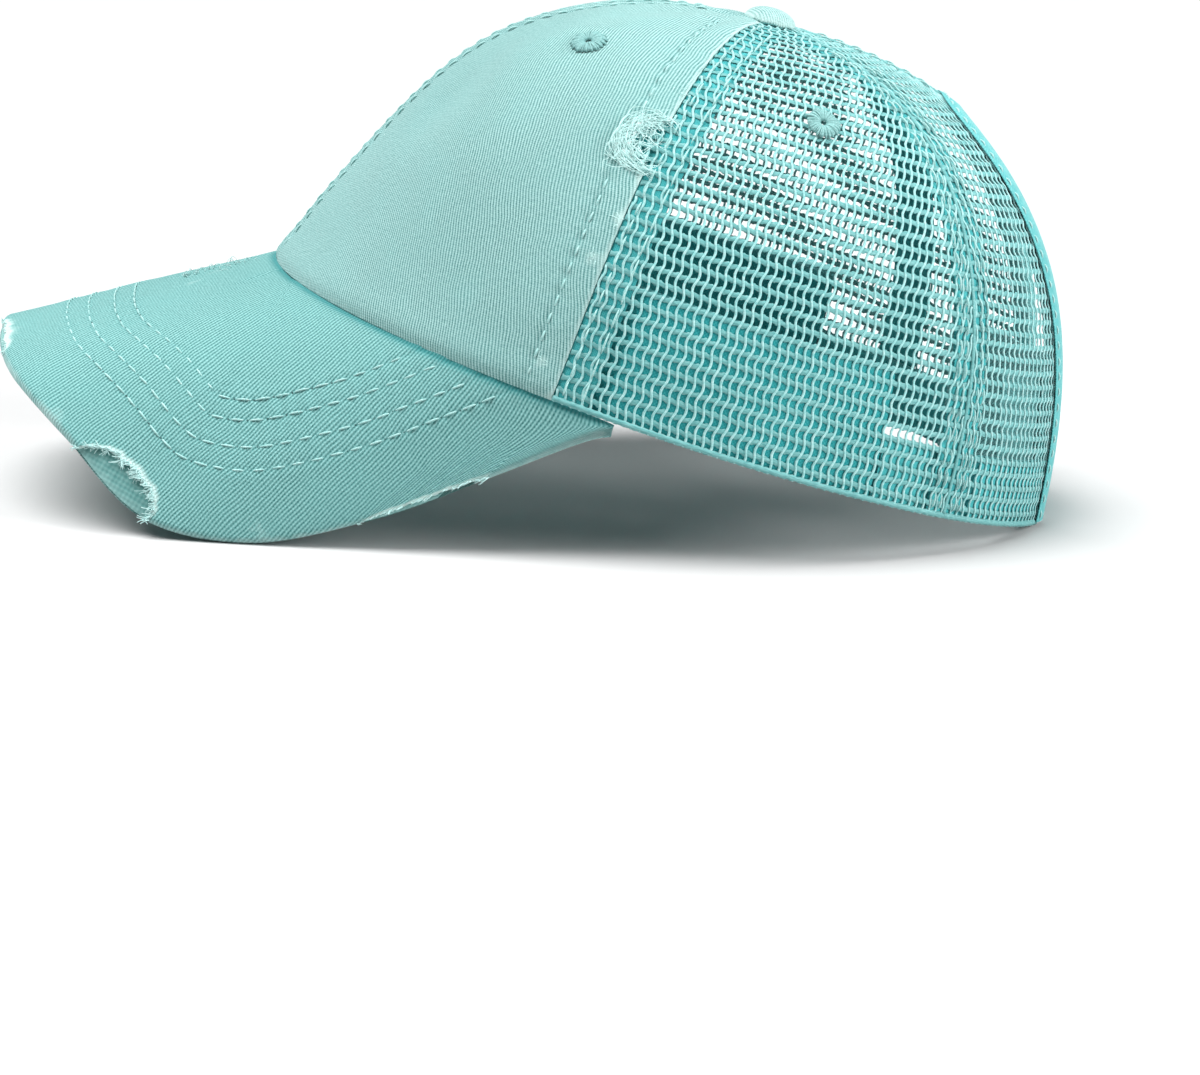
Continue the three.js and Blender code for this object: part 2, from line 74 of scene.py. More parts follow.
# Ponytail opening and closure
OPENING_WIDTH = 44.0
OPENING_HEIGHT = 112.0
OPENING_ARCH = 46.0
BINDING_WIDTH = 7.0
BINDING = 1.0
TAB_HEIGHT = 38.0
TAB_ROOT = math.radians(145)
TAB_OVERLAP = 30.0
TAB_EDGE = 1.0

# Peak
PEAK_REACH = 58.0
PEAK_DROP = 64.0
PEAK_TURN = 80.0
COVER = 1.0
BOARD = 1.6
UNDERSIDE = 1.0
PEAK_MIDDLE = COVER + GAP + BOARD / 2
PEAK_DEPTH = COVER + GAP + BOARD + GAP + UNDERSIDE
PEAK_EDGE_ROUND = 1.7
THINNEST = 0.12
CREST_SLOPE = math.radians(33.4)

BUTTON_RADIUS = 6.5
BUTTON_HEIGHT = 3.4
EYELET_RADIUS = 4.2

# turn, lean, rise, reach
MERIDIANS = np.array([
    (0, 0.205, 0.46, 0.77),
    (60, 0.09, 0.50, 0.73),
    (120, 0.04, 0.52, 0.76),
    (180, 0.075, 0.54, 0.82),
])

# turn, ahead, down, out
PEAK_LINES = np.array([
    (0, 1.02, 0.59, 0.00),
    (24, 1.04, 0.66, 0.05),
    (38, 0.99, 0.77, 0.03),
    (50, 0.83, 0.94, 0.03),
    (58, 0.60, 0.89, 0.00),
    (66, 0.37, 0.65, -0.03),
    (73, 0.21, 0.37, -0.03),
    (80, 0.02, 0.03, 0.00),
])

# turn, half turn, depth; the first one is only frayed, to this share of its depth
PEAK_TEARS = [(8, 8, 5.0), (45, 5, 8.0), (69, 4, 3.0)]
FRONT_TEAR_SHARE = 0.35
PANEL_TEAR = dict(middle=0.484, half=0.061, depth=9.0)
FRONT_EYELET = (math.radians(40), 0.66)
SIDE_EYELET = (math.radians(101.5), 0.64)

# Knitted net. A course's section is in shares of its half height, and millimetres outwards
NET_COLUMN = 2.15
NET_ROW = 3.15
NET_STEPS = 4
NET_SWING = 0.36
NARROWEST_ROW = 1.5
NET_MARGIN = 0.15
NET_DEPTH = 0.45
COURSE_SECTION = ((1, 0), (0.82, 0.11), (0, 0.16), (-0.82, 0.11), (-1, 0), (-0.75, -0.1), (0.75, -0.1))
STRAND_SECTION = (1.15, 0.75)

# How deep the bands lie behind the net: its back, the back of the tapes and the sweatband's face
NET_BACK = 0.62
TAPE_BACK = 1.45
BAND_FRONT = 1.62
BAND_FOOT = 0.6

# Stitch rows: distances from the front seam, the centre seam, the opening's edge and the peak's edge
PANEL_STITCH = 7.5
CENTRE_STITCH = 3.2
BINDING_STITCH = 4.2
TAB_STITCH = 3.0
STITCH_ROWS = (17.5, 23.0, 29.5, 34.5)

# Worn spots. On the panels: share, distance from the seam, size, strength
PANEL_SPOTS = {
    "left": ((0.245, 3.0, 2.6, 0.45), (0.055, 5.5, 2.4, 0.45), (0.33, 1.2, 1.8, 0.45)),
    "right": ((0.5, 2.0, 2.6, 0.4), (0.2, 4.5, 2.2, 0.4)),
}
# On the peak: turn, share, size
PEAK_SPOTS = (
    (2, 0.22, 4.5), (6, 0.30, 3.0), (-8, 0.62, 3.5), (34, 0.97, 4.0),
    (57, 0.9, 4.0), (9, 0.95, 5.0), (3, 0.97, 4.0),
)
# Loose threads. At each tear of the peak, their count and longest length
PEAK_FRINGES = ((80, 1.3), (340, 3.0), (130, 2.0))
# At worn spots of the front seam: share, distance from the seam, count
SEAM_FRINGES = ((0.245, 2.5, 9), (0.055, 5.0, 6), (0.33, 1.0, 6), (0.62, 1.5, 5))
TANGLE_THREADS = 360
CREST_THREADS = 34

SIDES = (("left", False), ("right", True))
STEP = 1e-3
FOLD_ANGLE = math.radians(60)


# Shape of the crown and the peak


def read_table(rows, degrees, column):
    """The smooth curve through a table's column, mirrored past its first row."""
    keys = np.concatenate([[2 * rows[0, 0] - rows[1, 0]], rows[:, 0]])
    values = np.concatenate([[rows[1, column]], rows[:, column]])
    last = len(keys) - 1
    i = np.clip(np.searchsorted(keys, degrees, side="left") - 1, 1, last - 1)
    far = np.minimum(i + 2, last)
    span = keys[i + 1] - keys[i]
    first_slope = (values[i + 1] - values[i - 1]) / (keys[i + 1] - keys[i - 1])
    last_slope = (values[far] - values[i]) / (keys[far] - keys[i])
    t = (degrees - keys[i]) / span
    t2, t3 = t * t, t * t * t
    return (
        (2 * t3 - 3 * t2 + 1) * values[i]
        + (t3 - 2 * t2 + t) * span * first_slope
        + (3 * t2 - 2 * t3) * values[i + 1]
        + (t3 - t2) * span * last_slope
    )


def stack(x, y, z):
    return np.stack(np.broadcast_arrays(x, y, z), -1).astype(float)


def unit(v):
    return v / np.maximum(np.linalg.norm(v, axis=-1, keepdims=True), 1e-12)


def bell(x, width):
    return np.exp(-((x / width) ** 2))


def smooth(x, low, high):
    t = np.clip((x - low) / (high - low), 0, 1)
    return t * t * (3 - 2 * t)


def lengths_along(path):
    return np.concatenate([[0], np.cumsum(np.linalg.norm(np.diff(path, axis=0), axis=1))])


def hem_point(turn):
    return stack(-HEM_LENGTH / 2 * np.cos(turn), -HEM_WIDTH / 2 * np.sin(turn), 0.0 * turn)


def crown_point(turn, share):
    """A point on the outside of the crown."""
    turn, share = np.broadcast_arrays(np.asarray(turn, float), np.asarray(share, float))
    degrees = np.abs(np.degrees(turn))
    lean, rise, reach = (read_table(MERIDIANS, degrees, c)[..., None] for c in (1, 2, 3))
    hem = hem_point(turn)
    low = hem * (1 - lean) + np.array([0, 0, CROWN_HEIGHT]) * rise
    apex = np.array([-APEX_AHEAD, 0, CROWN_HEIGHT])
    high = hem.copy()
    high[..., 2] = APEX_SLOPE * hem[..., 0]
    high = apex + high * reach
    t = share[..., None]
    s = 1 - t
    return s**3 * hem + 3 * s * s * t * low + 3 * s * t * t * high + t**3 * apex


def crown_normal(turn, share):
    across = crown_point(turn + STEP, share) - crown_point(turn - STEP, share)
    upper = np.minimum(share + STEP, 1 - STEP)
    return unit(np.cross(across, crown_point(turn, upper) - crown_point(turn, share - STEP)))


def softness(turn, share):
    """How far the worn cloth stands out from the smooth crown."""
    dent = -2.2 * bell(turn - 0.34, 0.13) * bell(share - 0.42, 0.10)
    swell = 0.9 * bell(turn - 0.62, 0.16) * bell(share - 0.34, 0.13)
    low = 0.7 * np.sin(5.0 * turn + 1.1) * np.sin(7.0 * share + 0.4)
    ripple = 0.35 * np.sin(13.0 * turn + 2.0 * share) * np.sin(11.0 * share + 1.3)
    fade = np.clip(share / 0.12, 0, 1) * np.clip((0.97 - share) / 0.1, 0, 1)
    return (dent + swell + low + ripple) * fade * np.clip((2.6 - np.abs(turn)) / 0.5, 0, 1)


def crown_inside(turn, share, depth):
    turn, share = np.broadcast_arrays(np.asarray(turn, float), np.asarray(share, float))
    lift = (softness(turn, share) - depth)[..., None]
    return crown_point(turn, share) + crown_normal(turn, share) * lift


def turn_length(turn, share):
    """Millimetres of crown to one radian of turn."""
    reach = crown_point(turn + STEP, share) - crown_point(turn - STEP, share)
    return np.linalg.norm(reach, axis=-1) / (2 * STEP)


def share_at_height(turn, height):
    turn, height = np.broadcast_arrays(np.asarray(turn, float), np.asarray(height, float))
    low, high = np.zeros(turn.shape), np.ones(turn.shape)
    for _ in range(26):
        middle = (low + high) / 2
        below = crown_point(turn, middle)[..., 2] < height
        low, high = np.where(below, middle, low), np.where(below, high, middle)
    return (low + high) / 2


def top_share(turn):
    hem = hem_point(np.asarray(turn, float))
    reach = read_table(MERIDIANS, np.abs(np.degrees(turn)), 3)
    return 1 - SHANK_HOLE / (3 * reach * np.hypot(hem[..., 0], hem[..., 1]))


def meridian_lengths(turn, shares):
    return lengths_along(crown_point(turn, shares))


HEM_PER_TURN = float(turn_length(np.pi, 0.0))
BACK_SHARES = np.linspace(0, 1, 301)
BACK_LENGTHS = meridian_lengths(np.pi, BACK_SHARES)


def back_point(across, up, depth):
    """A point by cloth distances at the back: across from the centre and up from the hem."""
    share = np.interp(up, BACK_LENGTHS, BACK_SHARES)
    sign = np.where(np.asarray(across) < 0, -1.0, 1.0)
    return crown_inside(sign * (np.pi - np.abs(across) / turn_length(np.pi, share)), share, depth)


def opening_half(up):
    arch = np.clip((up - (OPENING_HEIGHT - OPENING_ARCH)) / OPENING_ARCH, 0, 1)
    return OPENING_WIDTH / 2 * np.sqrt(1 - arch * arch)


def peak_line(turn):
    """The ends of a line across the peak, at the hem and at the outer edge."""
    degrees = np.abs(np.degrees(turn))
    ahead, down, out = (read_table(PEAK_LINES, degrees, c) for c in (1, 2, 3))
    root = hem_point(turn) + stack(np.cos(turn), np.sin(turn), 0.0 * turn) * TWILL / 2
    root[..., 2] = -GAP
    side = -np.sign(turn) * HEM_WIDTH / 2 * out
    return root, hem_point(turn) + stack(-PEAK_REACH * ahead, side, -PEAK_DROP * down)


def peak_point(turn, share):
    root, edge = peak_line(turn)
    return root + (edge - root) * np.asarray(share, float)[..., None]


def peak_inside(turn, share, depth):
    turn, share = np.broadcast_arrays(np.asarray(turn, float), np.asarray(share, float))
    across = peak_point(turn + STEP, share) - peak_point(turn - STEP, share)
    along = peak_point(turn, share + STEP) - peak_point(turn, share - STEP)
    depth = np.broadcast_to(depth, turn.shape)
    return peak_point(turn, share) - unit(np.cross(along, across)) * depth[..., None]


def bite(place, middle, half, depth):
    away = np.clip(np.abs(place - middle) / half, 0, 1)
    return depth * np.sqrt(1 - away * away)


def ragged(x, size, seed):
    """An uneven edge: a few waves of different lengths."""
    local = np.random.default_rng(seed)
    waves = ((0.9, 0.5), (2.1, 0.3), (4.7, 0.25), (9.5, 0.15))
    return size * sum(weight * np.sin(k * x + local.uniform(0, 6.3)) for k, weight in waves)


# Turning arrays into pieces


def to_row(points):
    c, s = math.cos(TILT), math.sin(TILT)
    return (points @ np.array([[c, 0, -s], [0, 1, 0], [s, 0, c]]) + HEM_CENTRE) / 1000


def put(name, data, place=(0, 0, 0)):
    obj = bpy.data.objects.new(name, data)
    obj.location = place
    bpy.context.scene.collection.objects.link(obj)
    return obj


def signed_volume(points, faces):
    total = 0.0
    for f in faces:
        for k in range(1, f.shape[1] - 1):
            a, b, c = points[f[:, 0]], points[f[:, k]], points[f[:, k + 1]]
            total += np.einsum("ij,ij->i", a, np.cross(b, c)).sum()
    return total


class Soup:
    """Points, faces and the values painted on them, gathered into one mesh."""

    def __init__(self):
        self.points, self.faces, self.cloth, self.wear, self.count = [], [], [], [], 0

    def add(self, points, faces, cloth=0.0, wear=0.0):
        if signed_volume(points - points.mean(0), faces) < 0:
            faces = [f[:, ::-1] for f in faces]
        self.points.append(points)
        self.faces += [f + self.count for f in faces]
        self.cloth.append(np.broadcast_to(cloth, (len(points), 2)))
        self.wear.append(np.broadcast_to(wear, len(points)))
        self.count += len(points)

    def piece(self, name, material, slot, node=None, mirror=False, crisp=False):
        points, cloth, wear = map(np.concatenate, (self.points, self.cloth, self.wear))
        faces = self.faces
        if mirror:
            points, cloth = points * (1, -1, 1), cloth * (-1, 1)
            faces = [f[:, ::-1] for f in faces]
        mesh = bpy.data.meshes.new(name)
        mesh.from_pydata(to_row(points), [], [corners for f in faces for corners in f.tolist()])
        mesh.validate()
        mesh.shade_smooth()
        if crisp:
            mesh.set_sharp_from_angle(angle=FOLD_ANGLE)
        flat = np.pad(cloth, ((0, 0), (0, 1))).astype(np.float32).ravel()
        mesh.attributes.new("cloth", "FLOAT_VECTOR", "POINT").data.foreach_set("vector", flat)
        mesh.attributes.new("wear", "FLOAT", "POINT").data.foreach_set("value", wear.astype(np.float32))
        mesh.materials.append(material)
        obj = put(name, mesh)
        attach(obj, "root")
        if node:
            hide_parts(node)


def sheet(name, material, slot, node, place, outer, inner, cloth, wear=0.0, mirror=False):
    """A piece of cloth between two depths, where place gives a grid of points at a depth."""
    front, back = place(outer), place(inner)
    grid = np.arange(front.shape[0] * front.shape[1]).reshape(front.shape[:2])
    quads = np.stack([grid[:-1, :-1], grid[:-1, 1:], grid[1:, 1:], grid[1:, :-1]], -1).reshape(-1, 4)
    rim = np.concatenate([grid[0, :-1], grid[:-1, -1], grid[-1, :0:-1], grid[:0:-1, 0]])
    after = np.roll(rim, -1)
    sides = np.stack([rim, rim + grid.size, after + grid.size, after], 1)
    faces = [quads, quads[:, [0, 3, 2, 1]] + grid.size, sides]
    points = np.concatenate([front.reshape(-1, 3), back.reshape(-1, 3)])
    worn = np.tile(np.broadcast_to(wear, grid.shape).ravel(), 2)
    soup = Soup()
    soup.add(points, faces, np.tile(np.stack(cloth, -1).reshape(-1, 2), (2, 1)), worn)
    soup.piece(name, material, slot, node, mirror, True)


def tube_faces(stations, corners, closed=False):
    """Faces of a tube whose points are counted station by station."""
    index = np.arange(stations * corners).reshape(stations, corners)
    if closed:
        index = np.concatenate([index, index[:1]])
    after = np.roll(index, -1, 1)
    body = np.stack([index[:-1], after[:-1], after[1:], index[1:]], -1).reshape(-1, 4)
    return [body] if closed else [body, index[:1, ::-1], index[-1:]]


def sweep(centre, side, up, profile, closed=False):
    """A tube: profile (stations or 1, corners, 2) is set out along side and up at each centre."""
    profile = np.broadcast_to(profile, (len(centre),) + profile.shape[-2:])
    rings = centre[:, None] + profile[..., :1] * side[:, None] + profile[..., 1:] * up[:, None]
    return rings.reshape(-1, 3), tube_faces(*rings.shape[:2], closed)


def circle(corners):
    a = np.arange(corners) / corners * 2 * np.pi
    return np.stack([np.cos(a), np.sin(a)], -1)


def frames(path, normal):
    """Side and up vectors along a path that lies on a surface with those normals."""
    tangent = unit(np.gradient(path, axis=0))
    side = unit(np.cross(normal, tangent))
    return side, unit(np.cross(tangent, side))


def lay(soup, path, normal, profile, along, around):
    """Adds a tube along a path on a surface. along and around are its cloth coordinates."""
    cloth = np.stack([np.repeat(along, len(around)), np.tile(around, len(path))], 1)
    soup.add(*sweep(path, *frames(path, normal), profile), cloth)


# The rim of a needle's pit: heights, and shares of its radius
PIT_SECTION = ((-0.5, 0.7), (0.42, 1), (0.5, 0.55))


def read_at(where, at, values):
    return np.stack([np.interp(where, at, v) for v in values.T], 1)


def stitches(soup, path, normal, length, gap, radius=0.3, proud=0.28, hole=0.0):
    """A row of stitches along a path. Each one is a short thread whose ends go into the cloth."""
    lengths = lengths_along(path)
    at = np.linspace(0, lengths[-1], max(2, round(lengths[-1] / 0.25) + 1))
    path, normal = read_at(at, lengths, path), read_at(at, lengths, normal)
    t = np.linspace(0, 1, 7)
    arc = np.sin(np.pi * t) ** 0.6
    profile = circle(6) * ((0.35 + 0.65 * arc) * radius)[:, None, None]
    for i in range(int(at[-1] // (length + gap))):
        start = i * (length + gap) + gap / 2 + rng.uniform(-0.1, 0.1)
        where = start + length * rng.uniform(0.93, 1.04) * t
        if where[-1] > at[-1]:
            break
        centre, n = read_at(where, at, path), unit(read_at(where, at, normal))
        side, up = frames(centre, n)
        skew = rng.uniform(-0.12, 0.12, 2)
        centre = centre + n * (proud * arc - 0.35 * (1 - arc))[:, None]
        centre = centre + side * (skew[0] + (skew[1] - skew[0]) * t)[:, None]
        cloth = np.stack([np.repeat(where, 6), np.tile(np.arange(6.0), 7)], 1)
        soup.add(*sweep(centre, side, up, profile), cloth)
        if hole:
            # The pit that the needle leaves between two stitches, coloured dark as painted shade
            shaded_pit = centre[0] + n[0] * (0.1 - proud * arc[0]) - unit(centre[1] - centre[0]) * 0.25
            ring = (side[0] * circle(7)[:, :1] + np.cross(n[0], side[0]) * circle(7)[:, 1:]) * hole
            rings = [shaded_pit + n[0] * high + ring * wide for high, wide in PIT_SECTION]
            soup.add(np.concatenate(rings), tube_faces(3, 7), wear=-1.0)


# Materials

# Share of the light that the dyed cloth gives back, next to the colour it shows in full light
DYE = 0.66


def linear(r, g, b, share=DYE):
    c = np.array([r, g, b]) / 255
    c = np.where(c <= 0.04045, c / 12.92, ((c + 0.055) / 1.055) ** 2.4)
    return (*(c * share), 1.0)


class Shader:
    """A material's node tree, built with short calls."""

    def __init__(self, name, roughness=0.9, sheen=0.0, specular=0.3):
        self.material = bpy.data.materials.new(name)
        self.material.use_nodes = True
        self.tree = self.material.node_tree
        self.surface = self.tree.nodes["Principled BSDF"]
        names = ("Roughness", "Sheen Weight", "Sheen Roughness", "Specular IOR Level")
        for key, value in zip(names, (roughness, sheen, 0.5, specular)):
            self.surface.inputs[key].default_value = value

    def node(self, kind, inputs=(), **settings):
        n = self.tree.nodes.new(kind)
        for key, value in settings.items():
            setattr(n, key, value)
        for key, value in dict(inputs).items():
            if isinstance(value, bpy.types.NodeSocket):
                self.tree.links.new(value, n.inputs[key])
            else:
                n.inputs[key].default_value = value
        return n

    def math(self, operation, a, b=0.0, c=0.0):
        return self.node("ShaderNodeMath", {0: a, 1: b, 2: c}, operation=operation).outputs[0]

    def add(self, a, b):
        return self.math("ADD", a, b)

    def times(self, a, b):
        return self.math("MULTIPLY", a, b)

    def split(self, vector):
        return self.node("ShaderNodeSeparateXYZ", {0: vector}).outputs[:2]

    def attribute(self, name, output="Fac"):
        return self.node("ShaderNodeAttribute", attribute_name=name).outputs[output]

    def noise(self, vector, scale, detail=2.0, rough=0.5):
        inputs = {"Vector": vector, "Scale": scale, "Detail": detail, "Roughness": rough}
        return self.node("ShaderNodeTexNoise", inputs).outputs["Fac"]

    def mapped(self, vector, rotate=0.0, scale=(1, 1)):
        inputs = {"Vector": vector, "Rotation": (0, 0, rotate), "Scale": (*scale, 1)}
        return self.node("ShaderNodeMapping", inputs).outputs[0]

    def ramp(self, factor, low, high, to_low=0.0, to_high=1.0):
        inputs = {"Value": factor, "From Min": low, "From Max": high, "To Min": to_low, "To Max": to_high}
        return self.node("ShaderNodeMapRange", inputs).outputs[0]

    def mix(self, factor, a, b):
        return self.node("ShaderNodeMix", {0: factor, 6: a, 7: b}, data_type="RGBA").outputs[2]

    def finish(self, colour, height, distance, strength):
        inputs = {"Height": height, "Distance": distance, "Strength": strength}
        bump = self.node("ShaderNodeBump", inputs)
        self.tree.links.new(colour, self.surface.inputs["Base Color"])
        self.tree.links.new(bump.outputs[0], self.surface.inputs["Normal"])
        return self.material


def twill_material(name, rib_turn, pitch, shaded_red=1.0, shaded_tone=1.0):
    """Washed cotton twill: slanting ribs of yarn, with pale worn places and painted shade in stitch grooves
    and creases.
    """

    # A copy with its colours scaled down paints shade on the peak
    def shade(r, g, b):
        return linear(r * shaded_red, g * shaded_tone, b * shaded_tone)

    s = Shader(name, roughness=0.95, sheen=0.15, specular=0.15)
    cloth = s.attribute("cloth", "Vector")
    turned = s.mapped(cloth, rotate=rib_turn)
    across, along = s.split(turned)
    across = s.add(across, s.ramp(s.noise(cloth, 0.05, 2.0), 0.3, 0.7, -0.6, 0.6))
    rib = s.math("MULTIPLY_ADD", s.math("SINE", s.times(across, 2 * math.pi / pitch)), 0.5, 0.5)
    yarn = s.noise(s.mapped(turned, scale=(2.6, 1.1)), 1.0, 3.0, 0.65)
    fleck = s.noise(cloth, 2.6, 2.0, 0.7)
    # Each rib is a row of short floats, set off from those of the next rib
    step = s.times(s.math("FLOOR", s.math("DIVIDE", across, pitch)), 2.4)
    floats = s.math("SINE", s.add(s.times(along, 2 * math.pi / (0.9 * pitch)), step))
    weave = s.add(s.add(s.times(rib, 0.5), s.times(yarn, 0.66)), s.times(floats, 0.085))
    colour = s.mix(s.ramp(weave, 0.22, 0.95), shade(58, 130, 128), shade(202, 248, 245))
    cloudy = s.ramp(s.noise(cloth, 0.045, 3.0, 0.6), 0.35, 0.7, 0.0, 0.25)
    colour = s.mix(cloudy, colour, shade(146, 208, 206))
    colour = s.mix(s.ramp(fleck, 0.62, 0.8, 0.0, 0.35), colour, shade(192, 230, 227))
    wear = s.attribute("wear")
    worn = s.ramp(s.add(wear, s.times(s.noise(cloth, 0.35, 3.0, 0.6), 0.5)), 0.45, 1.1)
    colour = s.mix(worn, colour, linear(196, 226, 222, 0.86))
    # Points marked below zero turn dark teal: painted shade in the stitch grooves and the crease under the
    # crown
    colour = s.mix(s.ramp(s.times(wear, -1.0), 0.0, 1.0, 0.0, 0.8), colour, linear(44, 148, 150))
    height = s.add(s.add(s.times(rib, 0.7), s.times(yarn, 0.5)), s.times(floats, 0.1))
    return s.finish(colour, height, 0.0002, 0.9)


def yarn_material(name, base, bright, streak, roughness=0.6, bump=0.0001):
    """Filament yarn: fine streaks along the cloth's own direction, and painted shade in the needle pits."""
    s = Shader(name, roughness=roughness, sheen=0.1, specular=0.35)
    cloth = s.attribute("cloth", "Vector")
    base, bright = linear(*base), linear(*bright)
    fibre = s.noise(s.mapped(cloth, scale=streak), 1.0, 3.0, 0.6)
    colour = s.mix(s.ramp(fibre, 0.3, 0.7), base, bright)
    colour = s.mix(s.ramp(s.noise(cloth, 0.12, 2.0), 0.35, 0.7, 0.0, 0.3), colour, base)
    # Points marked below zero, the needle pits, turn dark: painted shade
    shaded_pit = s.ramp(s.times(s.attribute("wear"), -1.0), 0.2, 0.8)
    return s.finish(s.mix(shaded_pit, colour, linear(58, 112, 112)), fibre, bump, 0.7)


def plain_material(name, base, bright, scale, bump=0.00012):
    """Plain woven tape: warp and weft as a fine chequer, with a little unevenness."""
    s = Shader(name, roughness=0.9, sheen=0.1, specular=0.2)
    cloth = s.attribute("cloth", "Vector")
    warp, weft = (s.math("SINE", s.times(part, 2 * math.pi * scale)) for part in s.split(cloth))
    chequer = s.math("MULTIPLY_ADD", s.times(warp, weft), 0.5, 0.5)
    uneven = s.noise(cloth, 0.5, 3.0, 0.6)
    weave = s.ramp(s.add(s.times(chequer, 0.5), uneven), 0.45, 1.1)
    colour = s.mix(weave, linear(*base), linear(*bright))
    colour = s.mix(s.ramp(s.attribute("wear"), 0.0, 1.0, 0.0, 0.8), colour, linear(190, 228, 225))
    return s.finish(colour, s.add(chequer, uneven), bump, 0.8)


TWILL_PANEL = twill_material("washed_twill_panel", math.radians(-25), 0.64)
# The peak gets a darker, less red copy of the same twill: painted shade
TWILL_PEAK_SHADED = twill_material("washed_twill_peak_shaded", math.radians(-28), 0.86, shaded_red=0.86, shaded_tone=0.95)
NET_BAR = yarn_material("net_course_yarn", (88, 168, 168), (146, 212, 210), (0.5, 2.6))
# The strands' yarn is coloured paler than the courses' yarn: painted highlight on the strands
NET_STRAND_LIT = yarn_material("net_strand_yarn_lit", (134, 214, 213), (206, 248, 246), (1.2, 1.0))
THREAD = yarn_material(
    "sewing_thread", (140, 206, 203, 0.72), (204, 240, 237, 0.72), (2.2, 0.4), bump=0.00006)
EYELET_THREAD = yarn_material("eyelet_thread", (112, 178, 176), (168, 218, 216), (2.2, 0.4))
LINT = yarn_material("frayed_cotton", (160, 222, 219, 0.8), (226, 246, 244, 0.85), (1.0, 1.0), 0.95)
FLUFF = yarn_material("loose_fluff", (178, 234, 231, 0.95), (232, 250, 248, 0.95), (1.0, 1.0), 0.95)
TAPE_CLOTH = plain_material("seam_tape_weave", (46, 166, 170), (92, 204, 206), 1.6, 0.00006)
BAND_CLOTH = plain_material("sweatband_cotton", (24, 150, 154), (66, 186, 189), 1.1, 0.00006)
BINDING_CLOTH = plain_material("binding_weave", (80, 182, 184), (124, 210, 210), 1.3)
BOARD_CLOTH = plain_material("peak_board_cloth", (96, 160, 157), (140, 196, 192), 0.6)
HOOK_CLOTH = plain_material("hook_and_loop_tape", (118, 205, 206), (160, 232, 232), 0.9, 0.0003)


# Knitted net: flat courses across, and thin wavy strands that run up over them


def net_rows(left_edge, right_edge, centre_turn):
    """Shares of the net's rows and, for each, matching turns and distances across the panel."""
    fine = np.linspace(0, float(top_share(centre_turn)), 800)
    lengths = meridian_lengths(centre_turn, fine)
    rows = np.arange(int(lengths[-1] / NET_ROW * NET_STEPS) + 1) / NET_STEPS
    shares = np.interp(rows * NET_ROW, lengths, fine)
    start, stop = left_edge(shares), right_edge(shares)
    turns = start[:, None] + (stop - start)[:, None] * np.linspace(0, 1, 60)
    steps = np.linalg.norm(np.diff(crown_point(turns, shares[:, None]), axis=1), axis=2)
    distance = np.concatenate([np.zeros((len(shares), 1)), np.cumsum(steps, 1)], 1)
    # Where the panel's own centre line lies within the row, also where the row stops short of it
    shift = np.array([np.interp(centre_turn, t, d) if t[0] < centre_turn < t[-1]
                      else d[-1] + (centre_turn - t[-1]) * (d[-1] / max(t[-1] - t[0], 1e-6))
                      for t, d in zip(turns, distance)])
    return rows, shares, turns, distance - shift[:, None]


def net_courses(rows, shares, turns, across):
    """Flat bars of yarn, taller where the strands cross them."""
    soup, quarter = Soup(), NET_COLUMN / 4
    for r in range(NET_STEPS, len(rows), NET_STEPS):
        left, right = across[r, 0], across[r, -1]
        if right - left < NARROWEST_ROW:
            continue
        first, last = math.ceil((left + 0.1) / quarter), math.floor((right - 0.1) / quarter)
        x = np.concatenate([[left], np.arange(first, last + 1) * quarter, [right]])
        turn = np.interp(x, across[r], turns[r])
        share = np.full(len(x), shares[r])
        step = shares[min(r + 1, len(shares) - 1)] - shares[r - 1]
        rise = crown_point(turn, share + step / 2) - crown_point(turn, share - step / 2)
        n = crown_normal(turn, share)
        up = unit(rise - n * np.einsum("ij,ij->i", rise, n)[:, None])
        size = np.linalg.norm(rise, axis=1) * NET_STEPS / 2 / NET_ROW
        size = size * (1 + 0.10 * np.sin(1.7 * x + 3.1 * r) + rng.uniform(-0.05, 0.05, len(x)))
        swing = NET_SWING if (r // NET_STEPS) % 2 else -NET_SWING
        top, low = ((0.53 + 0.34 * np.abs(np.cos(np.pi * (x - s) / NET_COLUMN)) ** 3) * size
                    for s in (swing, -swing))
        corners = [(a * (top if a > 0 else low), b + 0 * x) for a, b in COURSE_SECTION]
        ring = np.array(corners).transpose(2, 0, 1)
        cloth = np.stack([np.repeat(x, len(corners)), r * 3.0 + ring[:, :, 0].ravel()], 1)
        soup.add(*sweep(crown_inside(turn, share, NET_DEPTH), up, n, ring), cloth)
    return soup


def net_strands(rows, shares, turns, across):
    """Thin yarns that swing from side to side and rise over each course."""
    soup = Soup()
    lowest = math.ceil(across[:, 0].min() / NET_COLUMN)
    highest = math.floor(across[:, -1].max() / NET_COLUMN)
    for column in range(lowest, highest + 1):
        x = column * NET_COLUMN + NET_SWING * np.sin(np.pi * rows) + 0.05 * np.sin(2.3 * rows + column)
        inside = (x > across[:, 0] + NET_MARGIN) & (x < across[:, -1] - NET_MARGIN)
        ends = np.flatnonzero(np.diff(np.concatenate([[0], inside.astype(int), [0]])))
        for first, last in zip(ends[::2], ends[1::2]):
            if last - first < 4:
                continue
            run = np.arange(first, last)
            turn = np.array([np.interp(x[i], across[i], turns[i]) for i in run])
            over = np.cos(np.pi * rows[run]) ** 2
            path = crown_inside(turn, shares[run], NET_DEPTH + 0.02 - 0.28 * over)
            profile = circle(5) * (0.32 - 0.06 * over)[:, None, None] * STRAND_SECTION
            cloth = np.stack([np.full(5 * len(run), column * 4.0), np.repeat(rows[run] * NET_ROW, 5)], 1)
            soup.add(*sweep(path, *frames(path, crown_normal(turn, shares[run])), profile), cloth)
    return soup


